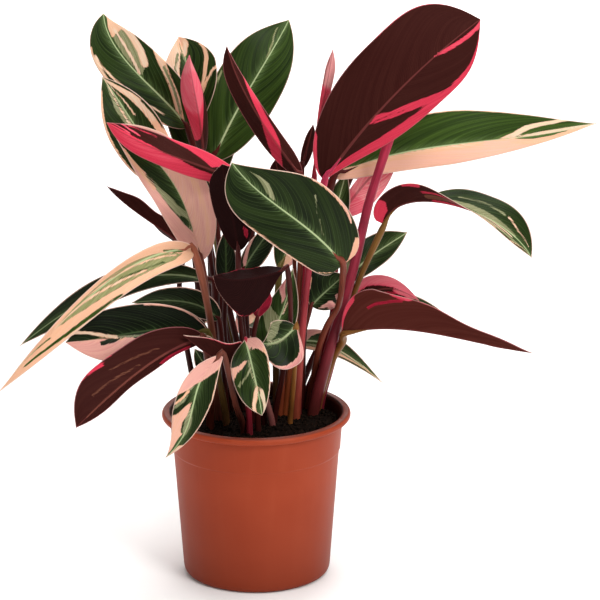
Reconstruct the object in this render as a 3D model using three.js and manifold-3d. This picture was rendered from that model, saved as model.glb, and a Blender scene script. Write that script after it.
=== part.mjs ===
// A stromanthe "triostar" in its round plastic nursery pot.
// Millimetres, +Z up, the front of the plant towards -Y. The origin is the middle of the pot's base.
// Pieces: the pot, the peat in it, and each leaf, a blade grown together with its own stalk.
import * as THREE from "three";
import { mergeVertices } from "three/addons/utils/BufferGeometryUtils.js";
import Module from "manifold-3d";

// ---- Driving dimensions -------------------------------------------------------------------------

const POT_HEIGHT = 170;
const RIM_RADIUS = 95;
const BASE_RADIUS = 74;
const POT_WALL = 2;
const POT_FLOOR = 3;
const LIP_HEIGHT = 7;
const LIP_WIDTH = 8;
const COLLAR_BOTTOM = 130; // the wall steps out here, up to the lip
const COLLAR_STEP = 1.2;
const POT_SIDES = 36;
const DRAIN_HOLES = 5;
const DRAIN_RADIUS = 5;
const DRAIN_CIRCLE = 46;

const SOIL_LEVEL = 157;
const SOIL_GAP = 0.4; // between the peat and the pot's wall and floor
const SOIL_SIDES = 32;
const SOIL_LUMPS = 1.6; // height of the peat's unevenness
const HOLE_GAP = 0.4; // between a stalk and its hole in the peat
const STALK_DEPTH = 20; // how far a stalk stands in the peat

const BLADE_THICKNESS = 0.8;
const ROW_LENGTH = 19; // length of blade between two cross-sections
const ROW_CROWDING = 0.07; // how far the cross-sections draw together towards heel and tip
const ACROSS = [-1, -0.5, 0, 0.5, 1]; // places across a blade, from its left edge to its right
const LEAST_HALF_WIDTH = 0.9; // at the very heel and tip of a blade
const SHOULDER = 2.2; // how fast a blade widens from its heel
const EDGE_WAVE = 1.6; // how far an edge waves out of the blade
const WAVES = 2.4; // along a blade
const RIGHT_EDGE_LAG = 0.35; // of a wave, behind the left edge
const NEXT_LEAF_LAG = 0.37; // of a wave, from one leaf to the next

const STALK_SIDES = 5;
const STALK_STEP = 38; // length of stalk between two cross-sections
const STRAIGHT_FOOT = 5; // length of stalk that rises straight out of the peat
const LEAST_STALK_RADIUS = 2.3;
const STALK_GROWTH = 0.008; // foot radius gained with the blade's length
const NECK_SHARE = 0.72; // neck radius as a share of the foot's
const KEEL_SHARE = 0.6; // the stalk's end under the blade, as a share of the neck

const TERRACOTTA = "#a54b35";
const PEAT = "#241b16";
const GREEN = "#2c4f2b"; // the top faces, all green or with a little cream
const CREAM = "#cfae88"; // the top faces that are mostly cream and peach
const MAROON = "#47202a"; // the undersides
const PINK = "#c9405c"; // the undersides and rolled leaves that are mostly pink

// The way that the top face of a blade with a roll of 0 looks: forwards, and a little up.
const TILT = THREE.MathUtils.degToRad(16);
const FRONT = new THREE.Vector3(0, -Math.cos(TILT), Math.sin(TILT));

// ---- The leaves ---------------------------------------------------------------------------------
// foot: where the stalk leaves the peat, x and y.
// bend: points that the stalk passes on its way up.
// rib: four points at even steps along the blade's midrib, from heel to tip.
// half: the widths of the halves left and right of the rib, seen on the top face.
// roll: the turn of the blade about its rib in degrees, at heel and tip. At 180 its underside shows.
// fold: how far each half rises from flat, in degrees. curl: how much further its edge turns in.
// peak: where the blade is widest, along the rib. point: how blunt its tip is. heel: how blunt its
// heel is. Each of the three may be a pair, for the halves left and right.
// stout: how thick the stalk is, as a share of what a blade of its length needs.
// tint: the colour of most of what shows of it.

const COMMON = {
  roll: [0, 0], fold: 8, curl: 0, peak: 0.42, point: 2.3, heel: 1.7, stout: 1, tint: GREEN,
};

const LEAVES = {
  // The tall shoot at the left and its young rolled leaf.
  leaf_upper_left: {
    foot: [-36, 48], bend: [[-45, 52, 269], [-50, 52, 374]],
    rib: [[-68, 48, 449], [-98, 50, 484], [-133, 56, 521], [-151, 72, 560]],
    half: [28, 29], peak: [0.6, 0.42], point: 2.6,
  },
  leaf_upper_left_edge: {
    foot: [-45, 40], bend: [[-58, 44, 273], [-66, 38, 342]],
    rib: [[-85, 24, 395], [-105, 22, 433], [-127, 24, 470], [-151, 34, 504]],
    half: [30, 25], fold: 10, peak: 0.5, point: 2,
  },
  leaf_upper_left_inner: {
    foot: [-20, 62], bend: [[-37, 64, 266], [-51, 64, 350]],
    rib: [[-58, 62, 408], [-61, 60, 452], [-66, 62, 497], [-77, 74, 536]],
    half: [30, 30], fold: 12, peak: [0.52, 0.76], point: [2.6, 1.7], heel: [1.7, 0.25], tint: CREAM,
  },
  leaf_rolled_left: {
    foot: [-28, 34], bend: [[-41, 30, 276], [-49, 20, 362]],
    rib: [[-52, 14, 424], [-54, 10, 462], [-60, 8, 498], [-64, 12, 530]],
    half: [20, 34], roll: [170, 190], fold: 42, curl: 45, peak: [0.62, 0.45], point: 1.7,
    heel: [1, 2.2], tint: PINK,
  },
  leaf_upper_middle: {
    foot: [-8, 70], bend: [[-30, 76, 262], [-41, 80, 346]],
    rib: [[-44, 84, 407], [-17, 94, 461], [10, 108, 505], [33, 128, 543]],
    half: [37, 32], point: 2.5,
  },

  // The leaves that spread to the left, from the red one down to the pot's rim.
  leaf_red_left: {
    foot: [-6, 8], bend: [[-10, 0, 285], [-3, -10, 359]],
    rib: [[-5, -28, 406], [-48, -56, 434], [-92, -76, 456], [-139, -90, 486]],
    half: [20, 15], roll: [185, 185], fold: 33, point: [4, 5], heel: [1.7, 1], tint: PINK,
  },
  leaf_peach_left: {
    foot: [-34, 10], bend: [[-44, -4, 253]],
    rib: [[-53, -22, 331], [-65, -24, 379], [-90, -32, 428], [-141, -48, 475]],
    half: [26, 30], fold: 10, peak: 0.58, point: 2.4, tint: CREAM,
  },
  leaf_small_left: {
    foot: [-60, 34], bend: [[-72, 30, 236], [-77, 25, 292]],
    rib: [[-71, 19, 331], [-92, 21, 350], [-121, 25, 370], [-148, 32, 393]],
    half: [13, 16], roll: [150, 110], fold: 40, peak: 0.45, point: 4, tint: MAROON,
  },
  leaf_long_peach: {
    foot: [-37, 0], bend: [[-44, -34, 270]],
    rib: [[-59, -52, 350], [-115, -94, 347], [-178, -128, 305], [-242, -156, 239]],
    half: [21, 11], fold: 20, peak: [0.42, 0.2], point: [2.4, 1.05], heel: [2.6, 1.7], tint: CREAM,
  },
  leaf_dark_left: {
    foot: [-46, 22], bend: [[-42, 16, 240]],
    rib: [[-41, 6, 300], [-106, 18, 304], [-173, 38, 273], [-243, 62, 217]],
    half: [16, 15], roll: [10, 0], fold: 20, peak: [0.5, 0.5], point: 2, heel: [0.9, 1.7],
  },
  leaf_lower_left: {
    foot: [-30, -14], bend: [[-36, -32, 212]],
    rib: [[-46, -41, 262], [-91, -62, 273], [-134, -80, 272], [-183, -90, 268]],
    half: [25, 28], peak: [0.7, 0.6], point: [1.8, 3], heel: [0.9, 1.7],
  },
  leaf_lower_left_behind: {
    foot: [-30, 2], bend: [[-33, -10, 230]],
    rib: [[-36, -22, 270], [-58, -22, 286], [-88, -10, 287], [-124, 6, 280]],
    half: [13, 15], fold: 10,
  },
  leaf_maroon_lower_left: {
    foot: [-46, -18], bend: [[-45, -34, 207]],
    rib: [[-50, -53, 261], [-88, -98, 258], [-127, -140, 240], [-168, -172, 209]],
    half: [30, 12], roll: [155, 155], fold: 25, peak: 0.68, point: 3.2, heel: [1.7, 5], tint: MAROON,
  },
  leaf_over_rim: {
    foot: [-12, -36], bend: [[-20, -66, 200]],
    rib: [[-30, -95, 258], [-54, -113, 231], [-63, -122, 198], [-86, -124, 162]],
    half: [18, 19], fold: 14, peak: [0.42, 0.6], point: [1.3, 1.6], heel: [1.3, 1],
  },

  // The crowd of leaves in the middle.
  leaf_upright_centre: {
    foot: [-4, -6], bend: [[-15, -34, 274]],
    rib: [[-16, -58, 350], [-20, -68, 383], [-26, -76, 415], [-30, -80, 443]],
    half: [24, 18], roll: [180, 180], fold: 20, peak: 0.55, point: 3.2, tint: MAROON,
  },
  leaf_maroon_centre: {
    foot: [18, -7], bend: [[34, -34, 264]],
    rib: [[32, -58, 332], [7, -78, 331], [-16, -94, 332], [-39, -108, 340]],
    half: [22, 35], roll: [210, 210], fold: 30, peak: [0.34, 0.64], point: [2, 1.25], heel: [1.7, 0.5],
    tint: MAROON,
  },
  leaf_hanging_centre: {
    foot: [-6, -42], bend: [[-8, -52, 215]],
    rib: [[-9, -62, 263], [-5, -74, 249], [2, -84, 221], [7, -88, 193]],
    half: [18, 22], fold: 10, peak: [0.4, 0.5], point: [1.8, 2.6], heel: [1.7, 0.55],
  },
  leaf_folded_centre: {
    foot: [2, -34], bend: [[1, -36, 205]],
    rib: [[-4, -36, 233], [-24, -50, 233], [-46, -66, 249], [-69, -82, 273]],
    half: [26, 27], roll: [105, 105], fold: 52, point: 1.8, tint: MAROON,
  },
  leaf_young_crimson: {
    foot: [8, -8], bend: [[-1, -20, 212], [-2, -32, 254]],
    rib: [[2, -40, 278], [4, -44, 289], [8, -46, 300], [12, -48, 312]],
    half: [11, 11], roll: [180, 180], fold: 30, peak: 0.5, point: 2, tint: PINK,
  },
  leaf_pink_edge_centre: {
    foot: [4, 6], bend: [[-12, -8, 256]],
    rib: [[-12, -24, 322], [-3, -26, 338], [9, -28, 356], [26, -32, 381]],
    half: [10, 14],
  },
  leaf_small_centre: {
    foot: [34, -8], bend: [[38, -30, 211]],
    rib: [[41, -46, 271], [30, -50, 262], [20, -54, 257], [7, -58, 257]],
    half: [30, 20], peak: [0.5, 0.42], point: 3, heel: [0.9, 1.7],
  },
  leaf_low_upright_centre: {
    foot: [16, -16], bend: [[8, -18, 198]],
    rib: [[9, -20, 236], [18, -16, 257], [28, -12, 281], [37, -6, 319]],
    half: [19, 18],
  },
  leaf_front_large: {
    foot: [53, 36], bend: [[59, 32, 198], [63, 20, 228], [71, 9, 255], [83, 1, 281]],
    rib: [[86, -58, 337], [50, -90, 383], [12, -110, 418], [-20, -122, 455]],
    half: [33, 43], peak: [0.5, 0.42], point: [5, 1.7], heel: [4, 2.6],
  },

  // The tall shoot at the right and the leaves that spread from it.
  leaf_folded_tall: {
    foot: [30, 20], bend: [[42, 12, 281], [45, 6, 355]],
    rib: [[46, -2, 410], [17, -8, 452], [-10, -10, 498], [-27, 4, 541]],
    half: [13, 16], roll: [180, 180], fold: 40, peak: [0.22, 0.42], point: [2.4, 6], tint: MAROON,
  },
  leaf_behind_front: {
    foot: [24, 18], bend: [[38, 26, 278]],
    rib: [[36, 24, 381], [29, 20, 396], [23, 18, 410], [20, 16, 425]],
    half: [14, 12], roll: [180, 180], fold: 15, tint: MAROON,
  },
  leaf_sliver: {
    foot: [28, 29], bend: [[43, 33, 275]],
    rib: [[46, 32, 410], [50, 32, 428], [54, 34, 443], [57, 38, 455]],
    half: [9, 7], roll: [180, 180], fold: 45, tint: MAROON,
  },
  leaf_new_spear: {
    foot: [42, 24], bend: [[46, 22, 279], [52, 18, 350]],
    rib: [[58, 14, 406], [61, 12, 450], [68, 12, 490], [76, 14, 535]],
    half: [12, 9], roll: [180, 180], fold: 36, curl: 50, peak: 0.84, point: 1.8, heel: 0.35,
    tint: CREAM,
  },
  leaf_top_right_large: {
    foot: [40, 12], bend: [[48, 8, 270], [56, -2, 340]],
    rib: [[68, -14, 410], [112, -20, 471], [164, -16, 525], [219, 4, 567]],
    half: [40, 53], roll: [190, 190], fold: 14, peak: [0.6, 0.56], point: [3.6, 4.4], heel: [0.8, 1.8],
    tint: MAROON,
  },
  leaf_long_right: {
    foot: [45, 39], bend: [[47, 38, 240], [60, 36, 330]],
    rib: [[77, 34, 401], [156, 46, 426], [245, 70, 432], [346, 112, 439]],
    half: [35, 20], peak: 0.47, point: [1.7, 1.4],
  },
  leaf_rose_right: {
    foot: [48, 54], bend: [[62, 52, 200], [76, 50, 252]],
    rib: [[84, 52, 358], [102, 60, 380], [122, 66, 402], [146, 72, 424]],
    half: [20, 9], roll: [180, 180], fold: 10, heel: [1.7, 0.8], tint: PINK,
  },
  leaf_arching_right: {
    foot: [58, 45], bend: [[72, 38, 215], [92, 26, 268], [107, 12, 312]],
    rib: [[127, -14, 366], [163, -38, 396], [222, -72, 389], [265, -104, 357]],
    half: [25, 25], roll: [-145, -5], fold: 30, peak: [0.66, 0.42], point: [2, 2.4], heel: [1.7, 2.8],
    tint: MAROON,
  },
  leaf_right_behind: {
    foot: [55, 54], bend: [[72, 56, 200], [84, 61, 250]],
    rib: [[89, 60, 285], [107, 68, 303], [129, 82, 316], [154, 102, 327]],
    half: [19, 14], peak: 0.5, point: 2.2,
  },
  leaf_lower_right_large: {
    foot: [62, 35], bend: [[77, 29, 213], [87, 14, 237]],
    rib: [[87, 0, 249], [148, -30, 263], [210, -68, 263], [269, -108, 263]],
    half: [18, 42], roll: [234, 234], fold: 40, peak: 0.2, point: 0.85, heel: [1.7, 1.4], tint: MAROON,
  },
  leaf_pink_lower_right: {
    foot: [66, 42], bend: [[76, 44, 200]],
    rib: [[92, 44, 258], [112, 44, 277], [135, 42, 284], [164, 38, 273]],
    half: [18, 18], roll: [180, 180], fold: 20, peak: 0.4, point: 1.5, heel: 1.9, tint: PINK,
  },
  leaf_lower_right_small: {
    foot: [30, 52], bend: [[26, 56, 181]],
    rib: [[30, 58, 219], [62, 78, 217], [94, 86, 199], [130, 102, 165]],
    half: [13, 10], peak: 0.35, point: [1.5, 1.3],
  },
  leaf_centre_right: {
    foot: [37, 33], bend: [[44, 31, 223]],
    rib: [[55, 24, 271], [65, 26, 281], [75, 28, 290], [89, 32, 302]],
    half: [28, 18],
  },
  leaf_dark_behind_stalks: {
    foot: [-14, 30], bend: [[-31, 26, 235]],
    rib: [[-30, 20, 294], [-30, 22, 311], [-30, 24, 330], [-30, 28, 351]],
    half: [11, 11],
  },
  leaf_small_dark_left: {
    foot: [-43, 11], bend: [[-43, 12, 180]],
    rib: [[-44, 14, 200], [-50, 14, 209], [-56, 14, 219], [-62, 15, 229]],
    half: [9, 9],
  },
  leaf_dark_behind_front: {
    foot: [45, 47], bend: [[47, 48, 240], [50, 48, 285]],
    rib: [[72, 46, 330], [77, 48, 352], [83, 51, 375], [91, 56, 404]],
    half: [14, 14],
  },

  // The back of the plant.
  leaf_back_right_tall: {
    foot: [58, 26], bend: [[72, 20, 220], [86, 17, 270], [99, 15, 320], [112, 13, 380], [127, 14, 430]],
    rib: [[139, 22, 470], [149, 56, 498], [161, 96, 516], [173, 144, 522]],
    half: [26, 26], roll: [180, 180], fold: 10, stout: 1.7, tint: MAROON,
  },
  leaf_back_left_tall: {
    foot: [6, 76], bend: [[-22, 96, 256]],
    rib: [[-40, 112, 382], [-46, 140, 426], [-58, 176, 453], [-72, 214, 462]],
    half: [26, 26], fold: 10,
  },
  leaf_back_middle: {
    foot: [20, 66], bend: [[19, 82, 228]],
    rib: [[23, 100, 287], [44, 140, 323], [63, 184, 327], [80, 226, 301]],
    half: [24, 24], fold: 12,
  },
  leaf_back_low_left: {
    foot: [-30, 66], bend: [[-34, 76, 200]],
    rib: [[-42, 90, 238], [-83, 130, 233], [-125, 168, 208], [-166, 200, 166]],
    half: [16, 16], fold: 12,
  },
  leaf_back_low_right: {
    foot: [42, 62], bend: [[56, 78, 196]],
    rib: [[81, 98, 238], [125, 122, 245], [172, 152, 227], [216, 180, 194]],
    half: [15, 13], fold: 12,
  },
  leaf_back_low_middle: {
    foot: [-4, 58], bend: [[-1, 84, 206]],
    rib: [[5, 110, 220], [-2, 148, 221], [-7, 186, 201], [-10, 218, 162]],
    half: [20, 20], fold: 14,
  },
  leaf_back_left: {
    foot: [-18, 74], bend: [[-28, 90, 226]],
    rib: [[-42, 104, 318], [-57, 138, 345], [-69, 176, 359], [-77, 214, 365]],
    half: [20, 20], fold: 12,
  },
  leaf_back_right: {
    foot: [35, 60], bend: [[34, 76, 205], [56, 80, 290]],
    rib: [[95, 84, 389], [138, 112, 407], [180, 146, 411], [225, 182, 407]],
    half: [17, 17], fold: 12,
  },
};

// ---- Solids -------------------------------------------------------------------------------------

const wasm = await Module();
wasm.setup();

function solidOf(geometry) {
  const bare = geometry.clone();
  bare.deleteAttribute("normal");
  bare.deleteAttribute("uv");
  const merged = mergeVertices(bare, 1e-4);
  return new wasm.Manifold(
    new wasm.Mesh({
      numProp: 3,
      vertProperties: merged.attributes.position.array,
      triVerts: new Uint32Array(merged.index.array),
    }),
  );
}

function geometryOf(solid) {
  const mesh = solid.getMesh();
  const geometry = new THREE.BufferGeometry();
  geometry.setAttribute("position", new THREE.BufferAttribute(mesh.vertProperties, 3));
  geometry.setIndex(new THREE.BufferAttribute(mesh.triVerts, 1));
  geometry.computeVertexNormals();
  return geometry;
}

// A closed skin over rings of points that run anticlockwise about the way from ring to ring. In a
// sheet, the second half of each ring is the other face of the first half, and its squares are
// split the other way, so that both faces crease alike.
function skinOver(rings, sheet = false) {
  const count = rings[0].length;
  const faces = [];
  for (let row = 0; row < rings.length - 1; row++) {
    for (let i = 0; i < count; i++) {
      const a = row * count + i;
      const b = row * count + ((i + 1) % count);
      const c = b + count;
      const d = a + count;
      if (sheet && i >= count / 2) faces.push(a, b, d, b, c, d);
      else faces.push(a, b, c, a, c, d);
    }
  }
  const last = (rings.length - 1) * count;
  for (let k = 0; k < count - 2; k++) {
    const low = Math.ceil(k / 2);
    const high = count - 1 - Math.floor(k / 2);
    const third = k % 2 ? high - 1 : low + 1;
    faces.push(low, high, third);
    faces.push(last + high, last + low, last + third);
  }
  const geometry = new THREE.BufferGeometry();
  const numbers = rings.flat().flatMap((point) => point.toArray());
  geometry.setAttribute("position", new THREE.Float32BufferAttribute(numbers, 3));
  geometry.setIndex(faces);
  return geometry;
}

// A body of revolution about Z from a profile of [radius, height] points.
function turned(profile, sides) {
  const points = profile.map(([radius, height]) => new THREE.Vector2(radius, height));
  return new THREE.LatheGeometry(points, sides).rotateX(Math.PI / 2);
}

// ---- Leaves -------------------------------------------------------------------------------------

const vectors = (list) => list.map((numbers) => new THREE.Vector3(...numbers));
const pairOf = (value) => (Array.isArray(value) ? value : [value, value]);

// The midrib at t, from 0 at the heel to 1 at the tip: the cubic through its four points.
function ribAt([a, b, c, d], t) {
  const point = new THREE.Vector3();
  point.addScaledVector(a, ((1 - 3 * t) * (2 - 3 * t) * (1 - t)) / 2);
  point.addScaledVector(b, (9 * t * (1 - t) * (2 - 3 * t)) / 2);
  point.addScaledVector(c, (9 * t * (1 - t) * (3 * t - 1)) / 2);
  point.addScaledVector(d, (t * (3 * t - 1) * (3 * t - 2)) / 2);
  return point;
}

function ribLength(rib) {
  return rib[0].distanceTo(rib[1]) + rib[1].distanceTo(rib[2]) + rib[2].distanceTo(rib[3]);
}

// How wide one half of a blade is at t, as a share of its widest.
function outlineAt(leaf, side, t) {
  const peak = leaf.peak[side];
  if (t < peak) return (1 - ((peak - t) / peak) ** SHOULDER) ** (1 / leaf.heel[side]);
  return 1 - ((t - peak) / (1 - peak)) ** leaf.point[side];
}

// A point of a blade's middle surface: t along the rib, w from -1 at the left edge to 1 at the right.
function bladeAt(leaf, t, w) {
  const centre = ribAt(leaf.rib, t);
  const along = ribAt(leaf.rib, t + 0.001).sub(ribAt(leaf.rib, t - 0.001)).normalize();
  const face = FRONT.clone().addScaledVector(along, -FRONT.dot(along)).normalize();
  const turn = THREE.MathUtils.degToRad(THREE.MathUtils.lerp(leaf.roll[0], leaf.roll[1], t));
  face.applyAxisAngle(along, turn);
  const right = new THREE.Vector3().crossVectors(along, face);

  const side = w < 0 ? 0 : 1;
  const share = Math.abs(w);
  const width = Math.max(leaf.half[side] * outlineAt(leaf, side, t), LEAST_HALF_WIDTH);
  const fold = THREE.MathUtils.degToRad(leaf.fold);
  const curl = THREE.MathUtils.degToRad(leaf.curl) + 1e-6;
  const sideways = (Math.sin(fold + curl * share) - Math.sin(fold)) / curl;
  const upwards = (Math.cos(fold) - Math.cos(fold + curl * share)) / curl;
  const beat = Math.sin(2 * Math.PI * (WAVES * t + leaf.phase + RIGHT_EDGE_LAG * side));
  const wave = EDGE_WAVE * share ** 2 * beat * Math.sqrt(Math.sin(Math.PI * t));
  centre.addScaledVector(right, Math.sign(w) * sideways * width);
  return centre.addScaledVector(face, upwards * width + wave);
}

// The way that the blade's top face looks at a point.
function bladeNormal(leaf, t, w) {
  const step = 0.02;
  const across = bladeAt(leaf, t, Math.min(w + step, 1)).sub(bladeAt(leaf, t, Math.max(w - step, -1)));
  const along = bladeAt(leaf, Math.min(t + step, 1), w).sub(bladeAt(leaf, Math.max(t - step, 0), w));
  return across.cross(along).normalize();
}

// Where a blade's cross-sections stand along its rib: closer together at the heel and the tip.
function rowsOf(leaf) {
  const rows = Math.max(4, Math.round(ribLength(leaf.rib) / ROW_LENGTH));
  const even = Array.from({ length: rows + 1 }, (_, row) => row / rows);
  return even.map((share) => share - ROW_CROWDING * Math.sin(2 * Math.PI * share));
}

function bladeSolid(leaf) {
  const rings = [];
  for (const t of rowsOf(leaf)) {
    const middle = ACROSS.map((w) => bladeAt(leaf, t, w));
    const lift = ACROSS.map((w) => bladeNormal(leaf, t, w).multiplyScalar(BLADE_THICKNESS / 2));
    const top = middle.map((point, i) => point.clone().add(lift[i]));
    const underside = middle.map((point, i) => point.clone().sub(lift[i]));
    rings.push([...top, ...underside.reverse()]);
  }
  return solidOf(skinOver(rings, true));
}

// The stalk from below the peat up to the heel, and on to the middle of the blade's first stretch.
// It thins from its foot to its neck. A grown one is thicker and longer, to cut its hole.
function stalkSolid(leaf, grow = 0) {
  const [x, y] = leaf.foot;
  const end = leaf.rib[0].clone().lerp(ribAt(leaf.rib, rowsOf(leaf)[1]), 0.5);
  const path = new THREE.CatmullRomCurve3(
    [
      new THREE.Vector3(x, y, SOIL_LEVEL - STALK_DEPTH),
      new THREE.Vector3(x, y, SOIL_LEVEL + STRAIGHT_FOOT),
      ...leaf.bend,
      leaf.rib[0],
      end,
    ],
    false,
    "catmullrom",
    0.5,
  );
  const footRadius = leaf.stout * (LEAST_STALK_RADIUS + STALK_GROWTH * ribLength(leaf.rib));
  const neckRadius = NECK_SHARE * footRadius;
  const steps = Math.max(5, Math.round(path.getLength() / STALK_STEP));
  const frames = path.computeFrenetFrames(steps, false);
  const rings = [];
  for (let step = 0; step <= steps; step++) {
    const share = step / steps;
    const centre = path.getPointAt(share);
    if (step === 0) centre.z -= grow;
    const thin = THREE.MathUtils.lerp(footRadius, neckRadius, share);
    const radius = (step === steps ? KEEL_SHARE * neckRadius : thin) + grow;
    const ring = [];
    for (let side = 0; side < STALK_SIDES; side++) {
      const angle = (2 * Math.PI * side) / STALK_SIDES;
      const point = centre.clone();
      point.addScaledVector(frames.normals[step], radius * Math.cos(angle));
      point.addScaledVector(frames.binormals[step], radius * Math.sin(angle));
      ring.push(point);
    }
    rings.push(ring);
  }
  return solidOf(skinOver(rings));
}

const leaves = Object.entries(LEAVES).map(([name, values], index) => {
  const leaf = { ...COMMON, ...values, name, phase: index * NEXT_LEAF_LAG };
  leaf.rib = vectors(leaf.rib);
  leaf.bend = vectors(leaf.bend);
  leaf.peak = pairOf(leaf.peak);
  leaf.point = pairOf(leaf.point);
  leaf.heel = pairOf(leaf.heel);
  return leaf;
});

// ---- Pot and peat -------------------------------------------------------------------------------

const COLLAR_RADIUS = RIM_RADIUS - LIP_WIDTH; // the wall just under the lip
const STEP_RADIUS = COLLAR_RADIUS - 2.2; // the wall where the collar starts
const WALL_SLOPE = (STEP_RADIUS - COLLAR_STEP - BASE_RADIUS) / COLLAR_BOTTOM;

function innerRadiusAt(height) {
  return BASE_RADIUS + WALL_SLOPE * height - POT_WALL;
}

function potSolid() {
  const lipBottom = POT_HEIGHT - LIP_HEIGHT;
  const profile = [
    [0, 0],
    [BASE_RADIUS - 6, 0],
    [BASE_RADIUS - 1.6, 1.2],
    [BASE_RADIUS + 0.3, 5],
    [STEP_RADIUS - COLLAR_STEP, COLLAR_BOTTOM],
    [STEP_RADIUS, COLLAR_BOTTOM + 1.5],
    [COLLAR_RADIUS, lipBottom],
    [RIM_RADIUS - 0.8, lipBottom],
    [RIM_RADIUS, lipBottom + 1.5],
    [RIM_RADIUS, POT_HEIGHT - 1.5],
    [RIM_RADIUS - 1.2, POT_HEIGHT],
    [COLLAR_RADIUS + 0.5, POT_HEIGHT],
    [COLLAR_RADIUS - POT_WALL, POT_HEIGHT - 2],
    [STEP_RADIUS - POT_WALL, COLLAR_BOTTOM + 3],
    [innerRadiusAt(COLLAR_BOTTOM), COLLAR_BOTTOM],
    [innerRadiusAt(POT_FLOOR), POT_FLOOR],
    [0, POT_FLOOR],
  ];
  let pot = solidOf(turned(profile, POT_SIDES));
  for (let i = 0; i < DRAIN_HOLES; i++) {
    const angle = (2 * Math.PI * (i + 0.5)) / DRAIN_HOLES;
    const drill = new THREE.CylinderGeometry(DRAIN_RADIUS, DRAIN_RADIUS, 4 * POT_FLOOR, 10);
    drill.rotateX(Math.PI / 2);
    drill.translate(DRAIN_CIRCLE * Math.cos(angle), DRAIN_CIRCLE * Math.sin(angle), 0);
    pot = pot.subtract(solidOf(drill));
  }
  return pot;
}

function peatSolid() {
  const floor = POT_FLOOR + SOIL_GAP;
  const edge = SOIL_LEVEL - 2;
  const profile = [
    [0, floor],
    [innerRadiusAt(floor) - SOIL_GAP, floor],
    [innerRadiusAt(COLLAR_BOTTOM) - SOIL_GAP, COLLAR_BOTTOM],
    [innerRadiusAt(edge) - SOIL_GAP, edge],
    [66, SOIL_LEVEL],
    [44, SOIL_LEVEL],
    [22, SOIL_LEVEL],
    [0, SOIL_LEVEL],
  ];
  const shape = turned(profile, SOIL_SIDES);
  const places = shape.attributes.position;
  for (let i = 0; i < places.count; i++) {
    const x = places.getX(i);
    const y = places.getY(i);
    const lump = Math.sin(x * 0.13 + 1) * Math.cos(y * 0.17) + 0.5 * Math.sin(x * 0.31 - y * 0.23);
    if (places.getZ(i) > edge + 0.5) places.setZ(i, places.getZ(i) + SOIL_LUMPS * lump);
  }
  return leaves.reduce((peat, leaf) => peat.subtract(stalkSolid(leaf, HOLE_GAP)), solidOf(shape));
}

// ---- The plant ----------------------------------------------------------------------------------

const plant = new THREE.Group();

function piece(name, solid, color, roughness) {
  const material = new THREE.MeshStandardMaterial({ color, roughness, metalness: 0 });
  const mesh = new THREE.Mesh(geometryOf(solid), material);
  mesh.name = name;
  plant.add(mesh);
}

piece("pot", potSolid(), TERRACOTTA, 0.5);
piece("peat", peatSolid(), PEAT, 1);
for (const leaf of leaves) piece(leaf.name, bladeSolid(leaf).add(stalkSolid(leaf)), leaf.tint, 0.45);

export default plant;
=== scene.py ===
# %% [markdown]
# # A stromanthe triostar in its nursery pot
# A triostar is a prayer plant. Its long leaves are dark green on top, with sectors of cream, peach and
# pink that run out along the veins, and maroon and hot pink underneath. This lesson dresses its CAD
# model: every leaf is built again as a fine two-skinned sheet on the same formula as its solid, and all
# of its colours come from marks that are laid out on the leaf itself, in the leaf's own directions.

# %% Start with the frame
import math

import bpy
import numpy as np
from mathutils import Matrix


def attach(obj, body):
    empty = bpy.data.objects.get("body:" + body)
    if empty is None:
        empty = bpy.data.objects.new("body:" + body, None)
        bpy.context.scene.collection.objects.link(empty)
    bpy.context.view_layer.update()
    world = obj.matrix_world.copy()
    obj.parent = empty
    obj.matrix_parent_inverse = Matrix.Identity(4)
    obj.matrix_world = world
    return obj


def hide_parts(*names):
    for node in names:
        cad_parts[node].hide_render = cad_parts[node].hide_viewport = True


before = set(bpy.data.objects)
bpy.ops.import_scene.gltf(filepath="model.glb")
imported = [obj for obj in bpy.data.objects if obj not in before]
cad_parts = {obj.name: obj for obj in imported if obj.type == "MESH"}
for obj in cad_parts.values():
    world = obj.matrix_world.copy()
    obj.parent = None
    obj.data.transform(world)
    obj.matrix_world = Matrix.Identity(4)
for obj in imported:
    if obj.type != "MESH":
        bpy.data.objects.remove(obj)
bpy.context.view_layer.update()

# %% [markdown]
# ## The camera first
# From nearby, the leaves that reach forward would look much larger than those at the back. So the
# camera stands nearly three metres off, a little above the plant, and looks through a long lens.

# %% Camera
MIDDLE = (0, 0, 0.3)  # of the plant, in metres
CAMERA_PLACE = (0.044, -2.819, 1.111)
TILT_DOWN = 16.34  # degrees below the horizon
LENS = 177.06  # millimetres
SENSOR_WIDTH = 36  # millimetres
eye = bpy.data.cameras.new("eye")
eye.lens = LENS
eye.sensor_width = SENSOR_WIDTH
camera = bpy.data.objects.new("camera", eye)
camera.location = CAMERA_PLACE
camera.rotation_euler = (math.radians(90 - TILT_DOWN), 0, 0)
bpy.context.collection.objects.link(camera)
bpy.context.scene.camera = camera
bpy.context.scene.view_settings.view_transform = "Standard"
print("The camera is", round(math.dist(CAMERA_PLACE, MIDDLE), 2), "metres from the middle of the plant")

# %% [markdown]
# ## Small tools
# Everything below is worked out in millimetres, as a grower or a mould maker would measure it, and is
# turned into metres where a mesh is made. Colours are written as sRGB hex values, which Blender's
# shaders need as linear numbers, so one function turns them. One more function adds a shader node.

# %% Colours
def linear(hex_colour):
    """An sRGB hex value as the linear red, green, blue and alpha that shaders take."""
    channels = [int(hex_colour[i : i + 2], 16) / 255 for i in (1, 3, 5)]
    return [c / 12.92 if c <= 0.04045 else ((c + 0.055) / 1.055) ** 2.4 for c in channels] + [1]


print("Half of full sRGB is only", round(linear("#808080")[0], 2), "of the light")

# %% Shader nodes
# The sockets of a Mix node that mixes colours.
SHARE, FIRST, SECOND, MIXED = 0, 6, 7, 2


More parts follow.
